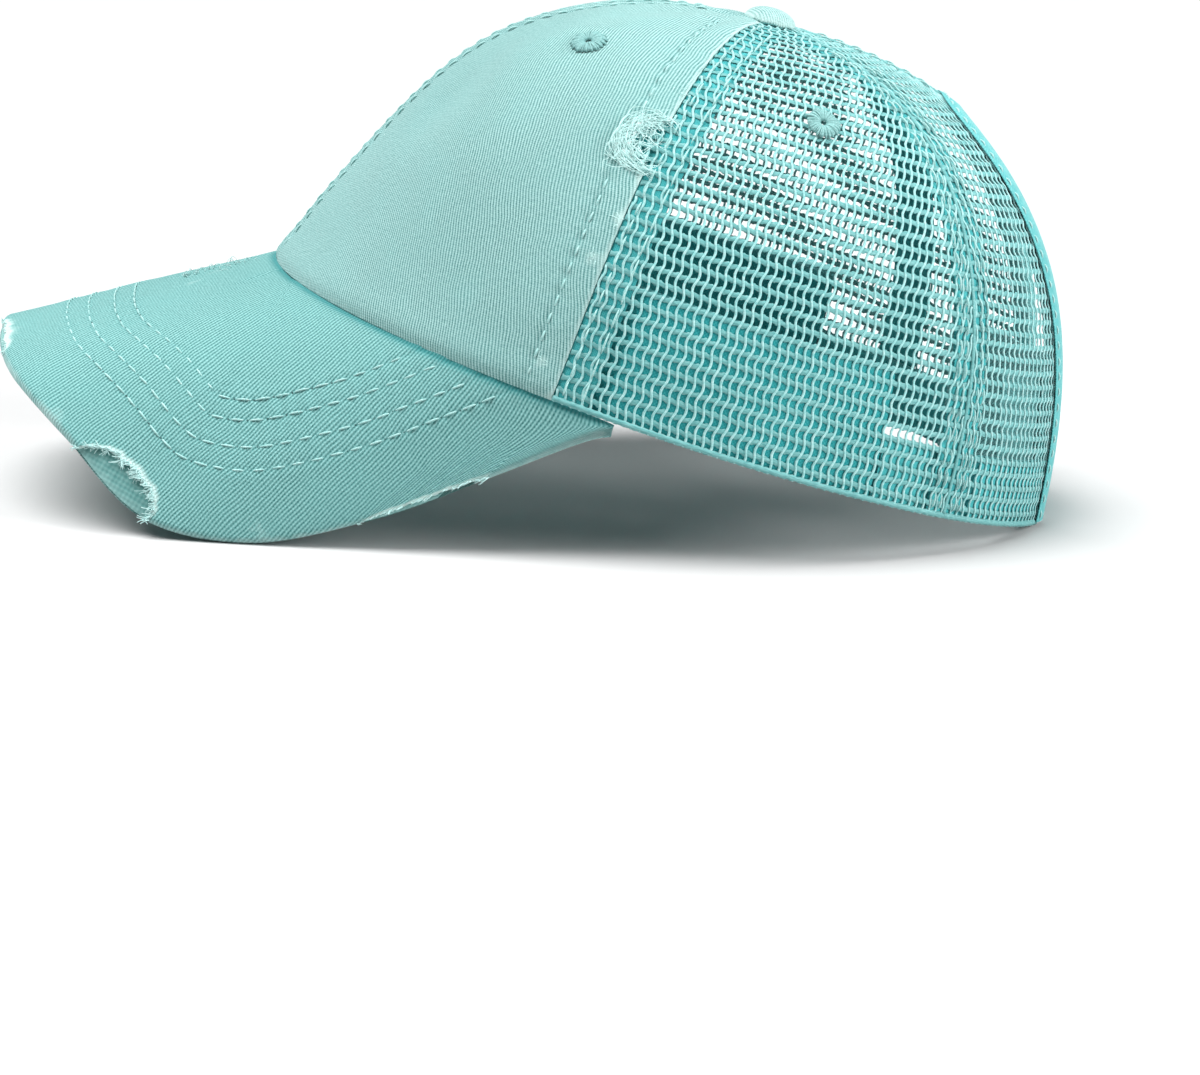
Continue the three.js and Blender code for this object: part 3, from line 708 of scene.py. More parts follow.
def net_panel(name, left_edge, right_edge, centre_turn, node, mirror):
    rows = net_rows(left_edge, right_edge, centre_turn)
    net_courses(*rows).piece(f"{name}_courses", NET_BAR, "net", node, mirror)
    net_strands(*rows).piece(f"{name}_strands", NET_STRAND_LIT, "net", None, mirror)


def seam_edge(turn, sign):
    return lambda share: turn + sign * GAP / 2 / turn_length(turn, share)


def torn_seam_edge(share):
    """The net's own edge, which shows where the twill over it is torn away."""
    torn = np.clip(bite(share, **PANEL_TEAR) - 1.6, 0, 6)
    return seam_edge(FRONT_SEAM, 1)(share) - torn / turn_length(FRONT_SEAM, share)


def back_edge(share):
    half = np.maximum(opening_half(np.interp(share, BACK_SHARES, BACK_LENGTHS)), GAP / 2)
    return np.pi - half / turn_length(np.pi, share)


for suffix, mirror in SIDES:
    net_panel(f"side_net_{suffix}", seam_edge(FRONT_SEAM, 1) if mirror else torn_seam_edge,
              seam_edge(BACK_SEAM, -1), math.radians(87), f"side_mesh_{suffix}", mirror)
    net_panel(f"back_net_{suffix}", seam_edge(BACK_SEAM, 1), back_edge, math.radians(139),
              f"back_mesh_{suffix}", mirror)


# Front panels of twill


def panel_grid(torn, columns=110, rows=150):
    """Turns, shares and flat cloth places on a front panel, and the turns of its edge."""
    centre = FRONT_SEAM / 2
    r = np.linspace(0, 1, rows)
    if torn:
        # More rows where the torn edge turns quickly
        density = 1 + 2.5 * bell(r - PANEL_TEAR["middle"], 0.09)
        r = np.interp(r, np.cumsum(density) / density.sum(), r)
        r[0], r[-1] = 0, 1
    share = (r * float(top_share(centre)))[:, None]
    length = meridian_lengths(centre, share[:, 0])[:, None]
    edge = seam_edge(FRONT_SEAM, -1)(share)
    if torn:
        depth = bite(share, **PANEL_TEAR)
        depth = np.maximum(depth + ragged(length, 0.7, 3) * (depth > 0), 0)
        edge = edge - depth / turn_length(FRONT_SEAM, share)
    c = np.linspace(0, 1, columns)
    turn = edge * (c - 0.06 * np.sin(2 * np.pi * c))
    share, length = (np.broadcast_to(a, turn.shape) for a in (share, length))
    return turn, share, (turn - centre) * turn_length(centre, share), length, edge


def front_panel(suffix, mirror):
    turn, share, x, y, edge = panel_grid(not mirror)
    size = turn_length(turn, share)
    from_centre, from_edge = turn * size, (edge - turn) * size
    from_seam = (seam_edge(FRONT_SEAM, -1)(share) - turn) * size
    dip = 0.55 * bell(from_centre, 1.3) + 0.35 * bell(from_edge, 0.9)
    ridge = 0.25 * bell(from_seam - 3.8, 2.2) + 0.2 * bell(from_centre - 1.9, 0.9)
    groove = bell(from_seam - PANEL_STITCH, 0.8) + bell(from_centre - CENTRE_STITCH, 0.8)
    near_rows = bell(from_seam - PANEL_STITCH, 2.6) + bell(from_centre - CENTRE_STITCH, 2.2)
    pucker = 0.14 * np.sin(y * 2 * np.pi / 4.9) * near_rows
    roll = 0.8 * bell(y, 0.8) - 0.3 * bell(y - 4.0, 3.0)
    wear = 0.55 * bell(from_edge, 1.0) + 0.35 * bell(from_centre, 1.0) + 0.3 * bell(y - 0.8, 1.0)
    # Darker along the stitch grooves: painted shade
    wear = wear - 0.12 * groove
    inner = TWILL * 0.85
    if not mirror:
        near = np.exp(-(((share - PANEL_TEAR["middle"]) / (PANEL_TEAR["half"] * 1.15)) ** 4))
        wear = wear + 0.9 * near * bell(from_edge, 1.6)
        inner = inner - 0.4 * near * bell(from_edge, 1.5)
    for at, away, across, strength in PANEL_SPOTS[suffix]:
        wear = wear + strength * bell((share - at) * 150, across) * bell(from_seam - away, across)
    outer = dip + 0.28 * groove + roll - ridge - pucker
    sheet(f"front_twill_{suffix}", TWILL_PANEL, "twill", f"front_panel_{suffix}",
          lambda depth: crown_inside(turn, share, depth), outer, inner, (x, y), wear, mirror)


for suffix, mirror in SIDES:
    front_panel(suffix, mirror)


# Peak: cover, board and underside


def peak_cloth(points, turn):
    """Flat cloth coordinates on a grid of the peak, which is bent about its crest line."""
    crest = np.array([-math.cos(CREST_SLOPE), 0, -math.sin(CREST_SLOPE)])
    step = np.diff(points, axis=1)
    step = step - (step @ crest)[..., None] * crest
    arc = np.concatenate([np.zeros((len(points), 1)), np.cumsum(np.linalg.norm(step, axis=2), 1)], 1)
    middle = np.array([np.interp(0.0, t, a) for t, a in zip(turn, arc)])
    return middle[:, None] - arc, points @ crest


EDGE_TURNS = np.radians(np.linspace(-PEAK_TURN, PEAK_TURN, 721))
EDGE_PATH = peak_line(EDGE_TURNS)[1]
EDGE_LENGTHS = lengths_along(EDGE_PATH)
EDGE_TANGENTS = unit(np.gradient(EDGE_PATH, axis=0))


def edge_distance(points):
    """Distance from the peak's outer edge, and the place along that edge."""
    flat = points.reshape(-1, 3)
    best, where = np.zeros(len(flat)), np.zeros(len(flat))
    for start in range(0, len(flat), 4000):
        part = flat[start:start + 4000]
        nearest = 2 * np.linalg.norm(part[:, None] - EDGE_PATH[None, ::2], axis=2).argmin(1)
        away, tangent = part - EDGE_PATH[nearest], EDGE_TANGENTS[nearest]
        on = np.einsum("ij,ij->i", away, tangent)
        best[start:start + 4000] = np.linalg.norm(away - on[:, None] * tangent, axis=1)
        where[start:start + 4000] = EDGE_LENGTHS[nearest] + on
    return best.reshape(points.shape[:-1]), where.reshape(points.shape[:-1])


def peak_tear(turn):
    """How far in from the peak's edge the cover is worn away."""
    degrees = np.degrees(turn)
    depth = np.max([bite(degrees, *tear) for tear in PEAK_TEARS], axis=0)
    middle, half, _ = PEAK_TEARS[0]
    depth = depth * np.where(np.abs(degrees - middle) <= half, FRONT_TEAR_SHARE, 1.0)
    along = np.interp(turn, EDGE_TURNS, EDGE_LENGTHS)
    return np.where(depth > 0, np.maximum(depth + ragged(along, 0.55, 5), 0), 0)


def peak_columns(limit, count):
    """Turns spaced evenly along the peak's edge, closer together at its tears."""
    degrees = np.degrees(EDGE_TURNS)
    density = np.gradient(EDGE_LENGTHS)
    for middle, half, _ in PEAK_TEARS:
        density = density * (1 + 1.5 * (np.abs(degrees - middle) < half * 1.15))
    total = np.cumsum(density * (np.abs(degrees) <= limit))
    turns = np.interp(np.linspace(0, total[-1], count), total, EDGE_TURNS)
    turns[0], turns[-1] = -math.radians(limit), math.radians(limit)
    return turns


def peak_grid(limit, columns, rows, inset, tuck=0.0):
    """Turns and shares on the peak up to an inset from its edge, with distances from the hem and to it."""
    turns = peak_columns(limit, columns)
    root, edge = peak_line(turns)
    length = np.linalg.norm(edge - root, axis=1)
    reach = 1 - np.minimum(inset(turns) / np.maximum(length, 0.1), 0.6)
    down = np.linspace(0, 1, rows)
    down = down - 0.10 * np.sin(2 * np.pi * down) / 2
    down[0] = tuck
    share = down[:, None] * reach
    return np.broadcast_to(turns, share.shape), share, share * length, (reach - share) * length


def relief(distance, along, from_root):
    """Quilting of the peak: grooves under the stitch rows, with small puckers between them."""
    groove, quilt = (sum(bell(distance - d, width) for d in STITCH_ROWS) for width in (0.75, 2.6))
    pucker = 0.11 * np.sin(along * 2 * np.pi / 4.8) * quilt
    swell = 0.25 * np.sin(along / 17.0 + 1.0) * np.sin(distance / 9.0 + 0.5)
    high = 0.16 * quilt - 0.22 * groove + pucker + swell - 0.5 * bell(from_root, 1.1)
    return high * np.clip(distance / 3.0, 0, 1)


def edge_roll(distance, depth):
    """How far cloth that wraps the peak's edge has turned down at a distance from it."""
    into = np.clip(1 - distance / PEAK_EDGE_ROUND, 0, 1)
    return depth * (1 - np.sqrt(1 - into * into))


def peak_layer(name, material, slot, node, turn, share, outer, inner, flat, wear):
    sheet(name, material, slot, node, lambda depth: peak_inside(turn, share, depth), outer, inner,
          peak_cloth(flat, turn), wear)


def peak_cover():
    turn, share, from_root, from_rim = peak_grid(PEAK_TURN, 250, 96, peak_tear, -0.012)
    flat = peak_inside(turn, share, 0.0)
    distance, along = edge_distance(flat)
    lift = relief(distance, along, from_root)
    wear = 0.38 * bell(distance, 1.6) + 1.3 * bell(from_rim, 1.5) * np.clip(peak_tear(turn), 0, 1)
    # Darker along the stitch rows and in the crease at the hem: painted shade, and in the crease also the
    # unfaded colour of cloth hidden from wear
    wear = wear - 0.12 * sum(bell(distance - d, 0.55) for d in STITCH_ROWS) - 1.1 * bell(from_root, 1.5)
    for degrees, at, size in PEAK_SPOTS:
        away = np.linalg.norm(flat - peak_point(np.radians(float(degrees)), at), axis=-1)
        wear = wear + 0.26 * bell(away, size)
    outer = edge_roll(distance, PEAK_MIDDLE)
    inner = COVER * 0.85 + np.minimum(outer, PEAK_MIDDLE - COVER * 0.85 - 0.02) * 0.98
    outer = outer - lift
    inner = np.maximum(inner, outer + THINNEST)
    peak_layer("peak_twill", TWILL_PEAK_SHADED, "twill", "peak_cover", turn, share, outer, inner, flat, wear)


def peak_board():
    turn, share, _, from_rim = peak_grid(PEAK_TURN - 10, 160, 24, lambda t: 0 * t + 0.4)
    top = COVER + GAP
    soft = np.clip(1 - from_rim / 1.2, 0, 1) ** 2 * 0.42
    peak_layer("peak_board_cloth", BOARD_CLOTH, "board", "peak_board", turn, share, top + soft,
               top + BOARD - soft, peak_inside(turn, share, top), 0.4 * bell(from_rim, 1.5))


def peak_underside():
    turn, share, from_root, _ = peak_grid(PEAK_TURN - 5, 200, 60, lambda t: 0 * t)
    distance, along = edge_distance(peak_inside(turn, share, 0.0))
    roll = edge_roll(distance, PEAK_DEPTH - PEAK_MIDDLE)
    outer = PEAK_DEPTH + relief(distance, along, from_root) * 0.7 - roll
    inner = np.minimum(PEAK_DEPTH - UNDERSIDE * 0.85 - roll * 0.98, outer - THINNEST)
    inner = np.maximum(inner, PEAK_MIDDLE - 0.1)
    outer = np.maximum(outer, inner + THINNEST)
    peak_layer("peak_twill_under", TWILL_PEAK_SHADED, "twill", "peak_underside", turn, share, inner, outer,
               peak_inside(turn, share, PEAK_DEPTH), 0.4 * bell(distance, 1.4))


def peak_stitches():
    turns = np.radians(np.linspace(-78, 78, 521))
    shares = np.linspace(0, 1, 161)
    distance, _ = edge_distance(peak_inside(turns[None], shares[:, None], 0.0))
    soup = Soup()
    for row in STITCH_ROWS:
        inside = np.flatnonzero(distance[3] > row)
        inside = inside[np.abs(np.degrees(turns[inside])) < 72]
        at = np.array([np.interp(-row, -distance[:, i], shares) for i in inside])
        turn = turns[inside]
        for depth, sign in ((0.12, 1), (PEAK_DEPTH - 0.12, -1)):
            path = peak_inside(turn, at, depth)
            normal = peak_inside(turn, at, depth - sign) - path
            stitches(soup, path, normal, 4.15, 0.65, radius=0.27, proud=0.3, hole=0.24)
    soup.piece("peak_stitching", THREAD, "thread")


peak_cover()
peak_board()
peak_underside()
peak_stitches()


# Tapes, sweatband, hem, binding and closure


def seam_tape(suffix, mirror, name, seam, width, shift):
    share = (np.linspace(0, 1, 90) * float(top_share(seam)))[:, None]
    size = turn_length(seam, share)
    half = np.minimum(width / 2, 0.45 * size)
    across = np.linspace(-1, 1, 13)
    turn = seam + (shift * half / (width / 2) + across * half) / size
    share = np.broadcast_to(share, turn.shape)
    length = meridian_lengths(seam, share[:, 0])[:, None]
    wave = 0.1 * np.sin(length / 3.1 + across) * np.abs(across)
    # Close behind the net, and behind the thicker twill on the front seam's other side
    front = NET_BACK + (TWILL * 0.9 - NET_BACK if seam == FRONT_SEAM else 0.0) * (across < 0)
    cloth = np.broadcast_arrays(across * width / 2, length)
    sheet(f"{name}_cloth_{suffix}", TAPE_CLOTH, "tape", f"{name}_tape_{suffix}",
          lambda depth: crown_inside(turn, share, depth + wave), front, TAPE_BACK, cloth, mirror=mirror)


def hem_band(name, node, material, slot, start, stop, height, thickness, mirror=False, columns=200):
    """A band inside the hem, from one turn to another."""
    turn = np.linspace(start, stop, columns)[None]
    up = (BAND_FOOT + np.linspace(0, 1, 17) * (height - BAND_FOOT))[:, None]
    turn, up = np.broadcast_arrays(turn, up)
    share = share_at_height(turn, up)
    along = np.cumsum(np.ones(share.shape), 1) * float(turn_length(1.0, 0.0)) * (stop - start) / columns
    soft = 0.3 * bell(height - up, 1.0) + 0.3 * bell(up - BAND_FOOT, 1.0)
    wave = 0.05 * np.sin(along / 6.0) * np.sin(up / 9.0)
    # Close behind the net, and farther in where a seam tape or the twill lies between
    side, back = ((np.abs(turn) - seam) * float(turn_length(seam, 0)) for seam in (FRONT_SEAM, BACK_SEAM))
    close = smooth(side, 9.5, 13.0) * (1 - smooth(back, -9.5, -6.5)) + smooth(back, 6.5, 9.5)
    front = BAND_FRONT + (NET_BACK - BAND_FRONT) * close
    inner = BAND_FRONT + thickness - 0.2 * bell(height - up - 4.0, 0.8)
    sheet(name, material, slot, node, lambda depth: crown_inside(turn, share, depth + wave),
          front + soft, inner - soft, (along, up), 0.25 * bell(height - up, 0.8), mirror)


def hem_fold(suffix, mirror):
    """The net's lower edge, turned up on itself."""
    stop = np.pi - (OPENING_WIDTH / 2 + BINDING_WIDTH - 3) / HEM_PER_TURN
    soup, count = Soup(), 160
    for start, end in ((FRONT_SEAM, BACK_SEAM), (BACK_SEAM, stop)):
        turn = np.linspace(start, end, count)
        share = share_at_height(turn, 0.75)
        n = crown_normal(turn, share)
        bump = 1 + 0.12 * np.sin(np.arange(count) * 1.9) + rng.uniform(-0.06, 0.06, count)
        profile = circle(10) * (0.72, 0.62) * bump[:, None, None]
        path = crown_point(turn, share) - n * 0.5
        lay(soup, path, n, profile, np.arange(count) * 0.6, np.arange(10) * 0.5)
    soup.piece(f"hem_fold_{suffix}", NET_BAR, "net", mirror=mirror)


def seam_ridge(soup, turn, low, high, half=0.5, proud=0.34):
    """The net's seam allowance, which stands out along the seam."""
    count = 180
    turn, share = np.full(count, turn), np.linspace(low, high, count)
    path = crown_inside(turn, share, 0.3)
    swell = 1 + 0.10 * np.sin(np.arange(count) * 1.3) + rng.uniform(-0.04, 0.04, count)
    profile = circle(10) * (half, proud) * swell[:, None, None]
    cloth = np.stack([np.tile(np.arange(10) * 0.6, count), np.repeat(np.arange(count) * 0.7, 10)], 1)
    soup.add(*sweep(path, *frames(path, crown_normal(turn, share)), profile), cloth)


def opening_path(steps=26, arch_steps=46):
    """Places round the opening's edge, and the direction away from it at each."""
    straight, half = OPENING_HEIGHT - OPENING_ARCH, OPENING_WIDTH / 2
    up = np.linspace(TAB_EDGE, straight, steps)
    angle = np.linspace(0, np.pi, arch_steps)[1:-1]
    normal = unit(np.stack([np.cos(angle) / half, np.sin(angle) / OPENING_ARCH], -1))
    return (
        np.concatenate([np.full(steps, half), half * np.cos(angle), np.full(steps, -half)]),
        np.concatenate([up, straight + OPENING_ARCH * np.sin(angle), up[::-1]]),
        np.concatenate([np.ones(steps), normal[:, 0], -np.ones(steps)]),
        np.concatenate([np.zeros(steps), normal[:, 1], np.zeros(steps)]),
    )


def binding():
    """Tape folded round the opening's edge. Its section is in distances away from the edge and outwards."""
    across, up, out_across, out_up = opening_path()
    w, n, g, b = BINDING_WIDTH - 1.4, NET, GAP, BINDING
    section = np.array([
        (w, -n - g - b * 0.7), (w - 0.6, -n - g - b), (w / 2, -n - g - b * 1.05), (-0.2, -n - g - b),
        (-0.95, -n - g - b * 0.4), (-g - b, -n / 2), (-0.95, g), (-0.2, g + 0.32), (w / 2, g + 0.36),
        (w - 0.6, g + 0.32), (w, g + 0.2), (w, g), (w / 2, g), (-0.05, g), (-g, -n / 2), (-0.05, -n - g),
        (w / 2, -n - g), (w, -n - g),
    ])

    def place(away, out):
        beside, above = out_across[:, None] * away, out_up[:, None] * away
        return back_point(across[:, None] + beside, up[:, None] + above, -out)

    bump = 1 + 0.05 * np.sin(np.arange(len(across)) * 2.1)[:, None]
    away, out = section[None, :, 0], section[None, :, 1]
    out = np.where(out > g, g + (out - g) * bump, out)
    away = np.broadcast_to(away, out.shape)
    along = lengths_along(back_point(across, up, 0.0))
    cloth = np.stack([np.repeat(along, len(section)), (away + out).ravel()], 1)
    soup, seam = Soup(), Soup()
    soup.add(place(away, out).reshape(-1, 3), tube_faces(*out.shape), cloth, 0.3 * (away.ravel() < 0))
    soup.piece("opening_binding_cloth", BINDING_CLOTH, "twill", "opening_binding", crisp=True)
    for out, sign in ((g + 0.34, 1), (-n - g - b * 1.02, -1)):
        path, lifted = (place(BINDING_STITCH, high)[:, 0] for high in (out, out + sign))
        stitches(seam, path, lifted - path, 2.8, 1.1, radius=0.26, proud=0.22)
    seam.piece("opening_stitching", THREAD, "thread")


def closure_depth(across):
    bridge = smooth(np.abs(across), OPENING_WIDTH / 5, OPENING_WIDTH / 2 - BINDING_WIDTH)
    root, front = BAND_DEPTH + TAPE + GAP, 2 * GAP
    return front + np.where(across > 0, root - front, root - front - TAB - GAP) * bridge


def closure_tab(side, suffix):
    root = (np.pi - TAB_ROOT) * HEM_PER_TURN
    tip, corner = -TAB_OVERLAP / 2, TAB_HEIGHT / 6
    near = tip + corner * (1 - np.cos(np.linspace(0, np.pi / 2, 10)))
    columns = np.concatenate([near, np.linspace(tip + corner, root, 44)[1:]])[::-1]
    into = np.clip(1 - (columns - tip) / corner, 0, 1)
    trim = corner * (1 - np.sqrt(1 - into * into))
    behind = 0 if side > 0 else TAB + GAP

    def place(across, up, depth):
        return back_point(side * across, up, closure_depth(side * across) + behind + depth)

    low, high = TAB_EDGE + trim, TAB_EDGE + TAB_HEIGHT - trim
    up = low + (high - low) * np.linspace(0, 1, 25)[:, None]
    across = np.broadcast_to(columns, up.shape)
    inset = np.minimum(np.minimum(up - low, high - up), across - tip)
    soft = 0.25 * bell(inset, 0.9)
    nap = 0.05 * np.sin(across * 2.7 + 0.8 * np.sin(up * 1.9)) * np.sin(up * 3.1) * (inset > 3.6)
    face = soft + 0.14 * bell(inset - TAB_STITCH, 0.7) - nap
    sheet(f"closure_strap_{suffix}", HOOK_CLOTH, "closure", f"closure_tab_{suffix}",
          lambda depth: place(across, up, depth), face, TAB - soft, (across, up), 0.2 * (inset < 1))
    end, foot, head = tip + TAB_STITCH, TAB_EDGE + TAB_STITCH, TAB_EDGE + TAB_HEIGHT - TAB_STITCH
    lines = (
        (np.linspace(root - 4, end, 60), np.full(60, foot)),
        (np.full(30, end), np.linspace(foot + 1, head - 1, 30)),
        (np.linspace(end, root - 4, 60), np.full(60, head)),
    )
    seam = Soup()
    for line in lines:
        path = place(*line, 0.05)
        stitches(seam, path, place(*line, -0.95) - path, 2.8, 1.2, radius=0.24, proud=0.2)
    seam.piece(f"closure_stitching_{suffix}", THREAD, "thread")


def meridian_stitches(soup, seam, away, low, high, depth, length, gap, radius=0.3, torn=False):
    """Stitches up the crown at a distance from a seam, with none across the panel's tear."""
    share = np.linspace(low, high, 240)
    at, half = PANEL_TEAR["middle"], PANEL_TEAR["half"]
    for run in (share[share < at - half], share[share > at + half]) if torn else (share,):
        turn = seam + away / turn_length(seam, run)
        stitches(soup, crown_inside(turn, run, depth), crown_normal(turn, run), length, gap, radius)


def crown_sewing(suffix, mirror):
    twill, net, ridge = Soup(), Soup(), Soup()
    meridian_stitches(twill, FRONT_SEAM, -PANEL_STITCH, 0.02, 0.90, 0.22, 3.4, 0.9, torn=not mirror)
    meridian_stitches(twill, 0.0, CENTRE_STITCH, 0.02, 0.93, 0.12, 3.4, 0.9)
    meridian_stitches(net, FRONT_SEAM, 2.2, 0.01, 0.93, -0.05, 3.6, 1.0, 0.24)
    meridian_stitches(net, FRONT_SEAM, 7.0, 0.01, 0.90, -0.1, 5.2, 1.0, 0.24)
    for away in (-4.4, -2.4, 2.4, 4.4):
        meridian_stitches(net, BACK_SEAM, away, 0.01, 0.90, -0.1, 4.4, 0.9, 0.24)
    top = float(np.interp(OPENING_HEIGHT + 8, BACK_LENGTHS, BACK_SHARES))
    meridian_stitches(net, np.pi, -3.0, top, 0.95, -0.1, 3.6, 1.0, 0.24)
    twill.piece(f"twill_stitching_{suffix}", THREAD, "thread", mirror=mirror)
    net.piece(f"net_stitching_{suffix}", THREAD, "thread", mirror=mirror)
    seam_ridge(ridge, BACK_SEAM, 0.008, 0.955)
    if not mirror:
        seam_ridge(ridge, np.pi, top - 0.02, 0.965, 0.8, 0.5)
    ridge.piece(f"seam_ridge_{suffix}", NET_BAR, "net", mirror=mirror)


hem_band("sweatband_cloth", "sweatband", BAND_CLOTH, "sweatband", -SWEATBAND_END, SWEATBAND_END,
         SWEATBAND_HEIGHT, SWEATBAND, columns=260)
for suffix, mirror in SIDES:
    seam_tape(suffix, mirror, "front_seam", FRONT_SEAM, FRONT_TAPE_WIDTH, FRONT_TAPE_SHIFT)
    seam_tape(suffix, mirror, "back_seam", BACK_SEAM, BACK_TAPE_WIDTH, 0.0)
    tape_start = SWEATBAND_END + 2 * GAP / float(turn_length(SWEATBAND_END, 0.0))
    tape_stop = np.pi - (OPENING_WIDTH / 2 + BINDING + 2 * GAP) / HEM_PER_TURN
    hem_band(f"hem_tape_cloth_{suffix}", f"hem_tape_{suffix}", TAPE_CLOTH, "tape", tape_start, tape_stop,
             HEM_TAPE_HEIGHT, TAPE, mirror, columns=90)
    hem_fold(suffix, mirror)
    crown_sewing(suffix, mirror)
    closure_tab(-1 if mirror else 1, suffix)
binding()


# Button and stitched eyelets


def button():
    n = unit(np.array([-APEX_SLOPE, 0, 1.0]))
    side = unit(np.cross(n, (0, 1.0, 0)))
    around = 72
    r = np.sin(np.linspace(0, np.pi / 2, 18))
    dome = np.stack([r, 0.95 * (1 - r**2.4) ** 0.62 - 0.05], 1)
    tuck = np.array([(0.99, -0.12), (0.95, -0.2), (0.7, -0.22), (0.36, -0.22), (0.0, -0.22)])
    radius, height = (np.concatenate([dome, tuck]) * (BUTTON_RADIUS, BUTTON_HEIGHT) + (0, GAP)).T[..., None]
    pleats = 0.13 * np.sin(9 * np.arange(around) / around * 2 * np.pi) * (radius / BUTTON_RADIUS) ** 6
    ring = side * circle(around)[:, :1] + np.cross(n, side) * circle(around)[:, 1:]
    body = crown_point(0.0, 1.0) + ring * radius[..., None] + n * (height + pleats)[..., None]
    # The first and the last ring are points, each joined to its neighbour by a fan
    count = (len(body) - 2) * around
    quads = tube_faces(len(body) - 2, around)[0]
    index = np.arange(around)
    after = np.roll(index, -1)
    fan = np.concatenate([
        np.stack([after, index, np.full(around, count)], 1),
        np.stack([index + count - around, after + count - around, np.full(around, count + 1)], 1),
    ])
    points = np.concatenate([body[1:-1].reshape(-1, 3), body[[0, -1], 0]])
    flat = np.concatenate([(radius[1:-1, None] * circle(around)).reshape(-1, 2), np.zeros((2, 2))])
    soup = Soup()
    soup.add(points, [quads, fan], flat, 0.3 + 0.4 * np.clip(np.hypot(*flat.T) / BUTTON_RADIUS, 0, 1) ** 8)
    soup.piece("button_twill", TWILL_PANEL, "twill", "button")


def eyelet(turn, share, node, mirror):
    """A padded ring with threads sewn over it from the hole outwards."""
    point, n = crown_inside(turn, share, 0.0), crown_normal(turn, share)
    side = unit(np.cross(n, (0, 0, 1.0)))
    up = np.cross(n, side)
    soup, count, hole = Soup(), 50, 0.75
    ring = side * circle(48)[:, :1] + up * circle(48)[:, 1:]
    normals = np.broadcast_to(n, ring.shape)
    soup.add(*sweep(point + ring * 2.55 + n * 0.1, ring, normals, circle(10) * (1.45, 0.62), closed=True))
    t = np.linspace(0, 1, 8)
    for k in range(count):
        a = (k + rng.uniform(-0.3, 0.3)) / count * 2 * np.pi
        out = side * math.cos(a) + up * math.sin(a)
        r = hole + (EYELET_RADIUS + rng.uniform(-0.35, 0.35) - hole) * t
        high = 0.98 + rng.uniform(-0.1, 0.15)
        high = high * np.sin(np.pi * np.clip(t * 0.94 + 0.05, 0, 1)) ** 0.55 - 0.15
        lean = rng.uniform(-0.25, 0.25) * t
        path = point + out * r[:, None] + n * high[:, None] + np.cross(n, out) * lean[:, None]
        thick = (0.17 + 0.12 * t) * rng.uniform(0.9, 1.1)
        lay(soup, path, n, circle(6) * thick[:, None, None], r, np.arange(6.0))
    soup.piece(f"stitched_{node}", EYELET_THREAD, "thread", node, mirror)


button()
for suffix, mirror in SIDES:
    eyelet(*FRONT_EYELET, f"front_eyelet_{suffix}", mirror)
    eyelet(*SIDE_EYELET, f"side_eyelet_{suffix}", mirror)


# Frayed threads at the tears


def strand(soup, path, normal, radius):
    thick = radius * np.linspace(1.0, 0.45, len(path))
    lay(soup, path, normal, circle(4) * thick[:, None, None], np.arange(len(path)) * 0.6, np.arange(4.0))


def curl(steps):
    """The path of a loose thread in unit steps that turn at random."""
    angle = rng.uniform(0, 6.28) + np.cumsum(rng.normal(0, 0.5, steps))
    return np.cumsum(np.cos(angle)), np.cumsum(np.sin(angle))


def peak_fringe():
    soup, steps = Soup(), 7
    t = np.linspace(0, 1, steps)
    for (middle, half, depth), (count, longest) in zip(PEAK_TEARS, PEAK_FRINGES):
        for _ in range(count):
            degrees = middle + half * rng.uniform(-1.05, 1.05)
            turn = math.radians(degrees)
            root, edge = peak_line(np.array(turn))
            length = float(np.linalg.norm(edge - root))
            start = 1 - float(peak_tear(np.array(turn))) / length
            clump = 0.75 + 0.35 * math.sin(degrees * 2.9 + depth) + 0.2 * math.sin(degrees * 7.3)
            size = longest * rng.uniform(0.45, 1.0) * clump / (steps - 1)
            angle = rng.normal(0, 0.3) + 0.5 * math.sin(degrees * 4.1) + rng.normal(0, 0.9) * t
            forward = np.concatenate([[0], np.cumsum(np.cos(angle[1:]))]) * size
            sideways = np.concatenate([[0], np.cumsum(np.sin(angle[1:]))]) * size
            height = 0.15 + t**1.5 * rng.uniform(-0.7, 1.0)
            wide = peak_point(turn + STEP, start) - peak_point(turn - STEP, start)
            per_turn = np.linalg.norm(wide) / (2 * STEP)
            turns = turn + sideways / max(per_turn, 20)
            shares = start - 0.6 / length + forward / length
            # Threads that reach past the edge hang down over it
            over = np.clip((shares - 1) * length, 0, None)
            deep = np.minimum(rng.uniform(0.0, 0.8) - height + over * 0.45, PEAK_MIDDLE + 1.0)
            shares = np.minimum(shares, 1 + 1.6 / length)
            path = peak_inside(turns, shares, deep)
            strand(soup, path, peak_inside(turns, shares, deep - 1) - path, rng.uniform(0.09, 0.19))
    # Loose threads on the crest
    for _ in range(CREST_THREADS):
        turn, start = rng.normal(-0.03, 0.03), rng.choice([0.16, 0.30]) + rng.normal(0, 0.03)
        across, along = curl(8)
        size = rng.uniform(1.5, 4.0) / 8
        turns, shares = turn + across * size / 95, start + along * size / 70
        height = np.sin(np.linspace(0.1, 3.0, 8)) * rng.uniform(0.3, 1.6)
        path = peak_inside(turns, shares, 0.1 - height)
        strand(soup, path, peak_inside(turns, shares, -height - 0.9) - path, rng.uniform(0.08, 0.13))
    soup.piece("peak_fraying", LINT, "thread")


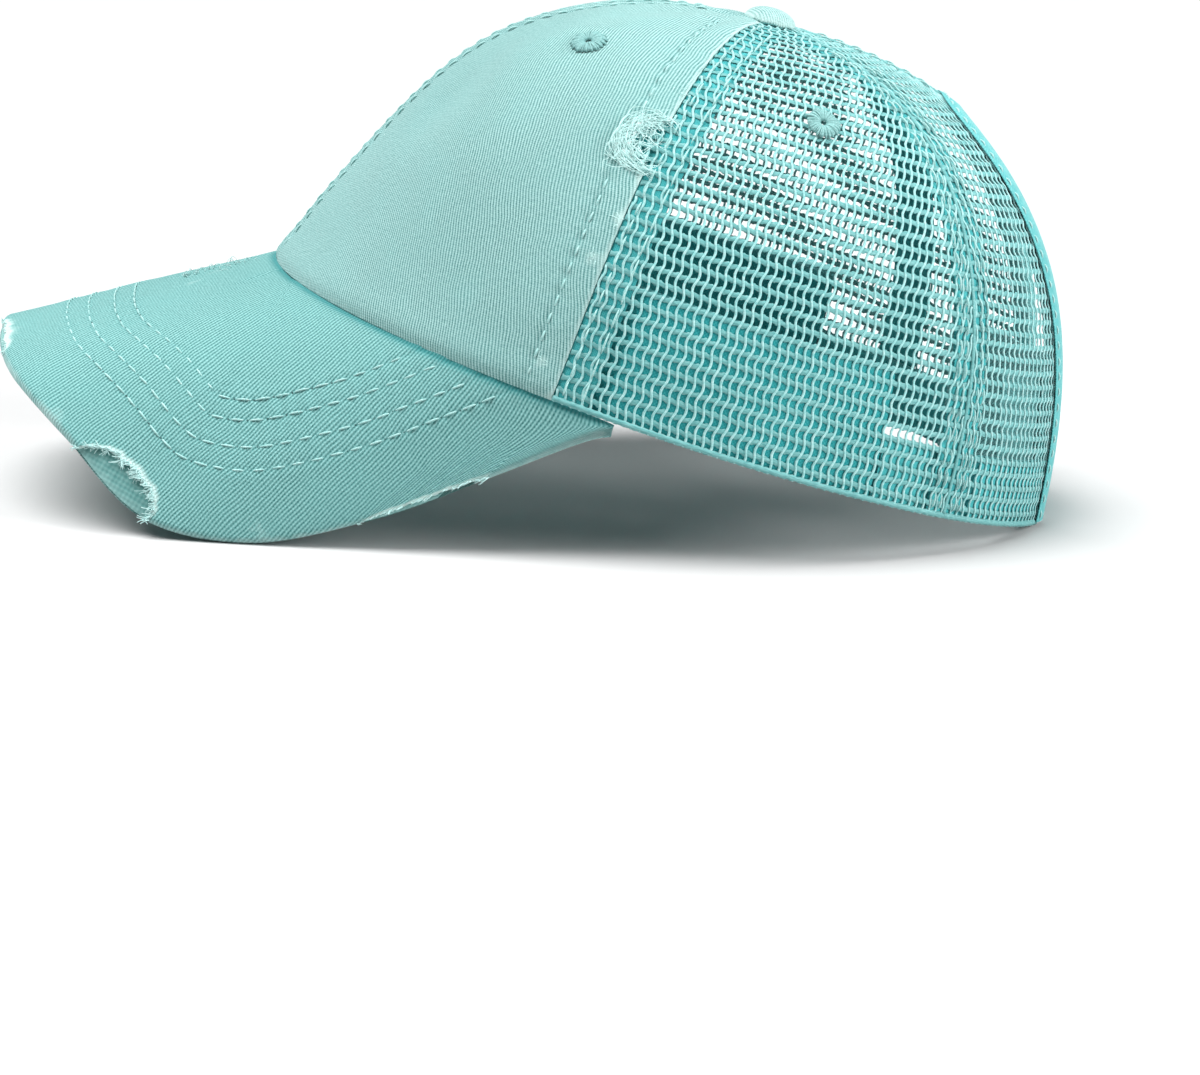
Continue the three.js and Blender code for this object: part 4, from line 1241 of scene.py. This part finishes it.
def crown_fringe():
    """Threads that come loose from the torn panel and lie tangled over the seam."""
    soup = Soup()
    at, half, deep = PANEL_TEAR["middle"], PANEL_TEAR["half"], PANEL_TEAR["depth"]
    per_share = float(BACK_LENGTHS[-1])
    per_turn = float(turn_length(FRONT_SEAM, at))
    t = np.linspace(0, 1, 14)
    for k in range(TANGLE_THREADS):
        angle = rng.uniform(-1.5, 1.5) + rng.choice([-1, 1]) * rng.uniform(0.2, 0.85) * t
        reach = rng.normal(0.9, 0.16) + rng.normal(0, 0.2) * t
        if k % 6 == 0:
            reach = rng.uniform(0.35, 1.0) + rng.normal(0, 0.45) * t
        waver = rng.uniform(0.1, 0.6) * np.sin(rng.uniform(3, 9) * t + rng.uniform(0, 6.3))
        into = np.clip((deep + 0.6) * reach * np.cos(angle) + waver, -3.5, deep + 1.6)
        shares = at + (half * per_share * reach * np.sin(angle) + waver) / per_share
        height = 0.15 + np.sin(np.pi * t) * rng.uniform(0.05, 0.9) + 0.1 * (k % 5)
        turns = FRONT_SEAM - into / per_turn
        thick = rng.uniform(0.12, 0.19) if k % 10 == 0 else rng.uniform(0.05, 0.1)
        strand(soup, crown_inside(turns, shares, -height), crown_normal(turns, shares), thick)
    for spot, away, count in SEAM_FRINGES:
        per_turn = float(turn_length(FRONT_SEAM, spot))
        for _ in range(count):
            across, along = curl(7)
            size = rng.uniform(1.0, 2.4) / 7
            turns = FRONT_SEAM - (away + rng.normal(0, 1.2) - across * size) / per_turn
            shares = spot + (rng.normal(0, 1.3) + along * size) / per_share
            height = 0.2 + np.sin(np.linspace(0.2, 2.9, 7)) * rng.uniform(0.1, 0.6)
            path = crown_inside(turns, shares, -height)
            strand(soup, path, crown_normal(turns, shares), rng.uniform(0.05, 0.09))
    soup.piece("crown_fraying", FLUFF, "thread")


peak_fringe()
crown_fringe()


# Camera, light and floor

# The photograph's frame, and where the camera's target lies in it
PHOTO_WIDTH, PHOTO_HEIGHT = 1200, 1075
TARGET_SEEN = (537.4, 248.8)
PIXELS_PER_METRE = 4000.0
CAMERA_AWAY = 1.1
SENSOR = 36


def aim(obj, target):
    obj.rotation_mode = "QUATERNION"
    obj.rotation_quaternion = (Vector(target) - obj.location).to_track_quat("-Z", "Y")


def set_camera():
    azimuth, elevation, roll = math.radians(-3), math.radians(9.5), math.radians(2.2)
    level = math.cos(elevation)
    back = Vector((math.sin(azimuth) * level, -math.cos(azimuth) * level, math.sin(elevation)))
    right = Vector((math.cos(azimuth), math.sin(azimuth), 0))
    up = back.cross(right)
    right, up = (right * math.cos(roll) + up * math.sin(roll), up * math.cos(roll) - right * math.sin(roll))
    focal = PIXELS_PER_METRE * CAMERA_AWAY
    beside, above = PHOTO_WIDTH / 2 - TARGET_SEEN[0], PHOTO_HEIGHT / 2 - TARGET_SEEN[1]
    axis = (-back * focal + right * beside - up * above).normalized()
    up = (up - axis * up.dot(axis)).normalized()
    data = bpy.data.cameras.new("camera")
    data.sensor_width = SENSOR
    data.lens = focal / PHOTO_WIDTH * SENSOR
    data.clip_start, data.clip_end = 0.05, 20
    camera = put("camera", data)
    turned = Matrix((axis.cross(up), up, -axis)).transposed().to_4x4()
    camera.matrix_world = Matrix.Translation(Vector((0, 0, 0.062)) + back * CAMERA_AWAY) @ turned
    bpy.context.scene.camera = camera


def set_stage(half=8.0):
    mesh = bpy.data.meshes.new("floor")
    corners = [(-half, -half, 0), (half, -half, 0), (half, half, 0), (-half, half, 0)]
    mesh.from_pydata(corners, [], [(0, 1, 2, 3)])
    paper = Shader("pale_floor", roughness=0.9)
    paper.surface.inputs["Base Color"].default_value = (0.5, 0.5, 0.5, 1)
    mesh.materials.append(paper.material)
    put("floor", mesh)
    world = bpy.data.worlds.new("studio")
    bpy.context.scene.world = world
    world.use_nodes = True
    background = world.node_tree.nodes["Background"]
    background.inputs[0].default_value = (0.95, 0.98, 1.0, 1)
    background.inputs[1].default_value = 0.2
    key = bpy.data.lights.new("key", "SUN")
    key.energy = 5.9
    key.angle = math.radians(50)
    aim(put("key", key, (-0.7, -0.05, 1.8)), (0, 0, 0))
    fill = bpy.data.lights.new("fill", "AREA")
    fill.shape = "DISK"
    fill.size = 0.8
    fill.energy = 26
    aim(put("fill", fill, (1.3, -0.5, 0.6)), (0, 0, 0.06))


bpy.context.scene.view_settings.view_transform = "Standard"
set_camera()
set_stage()
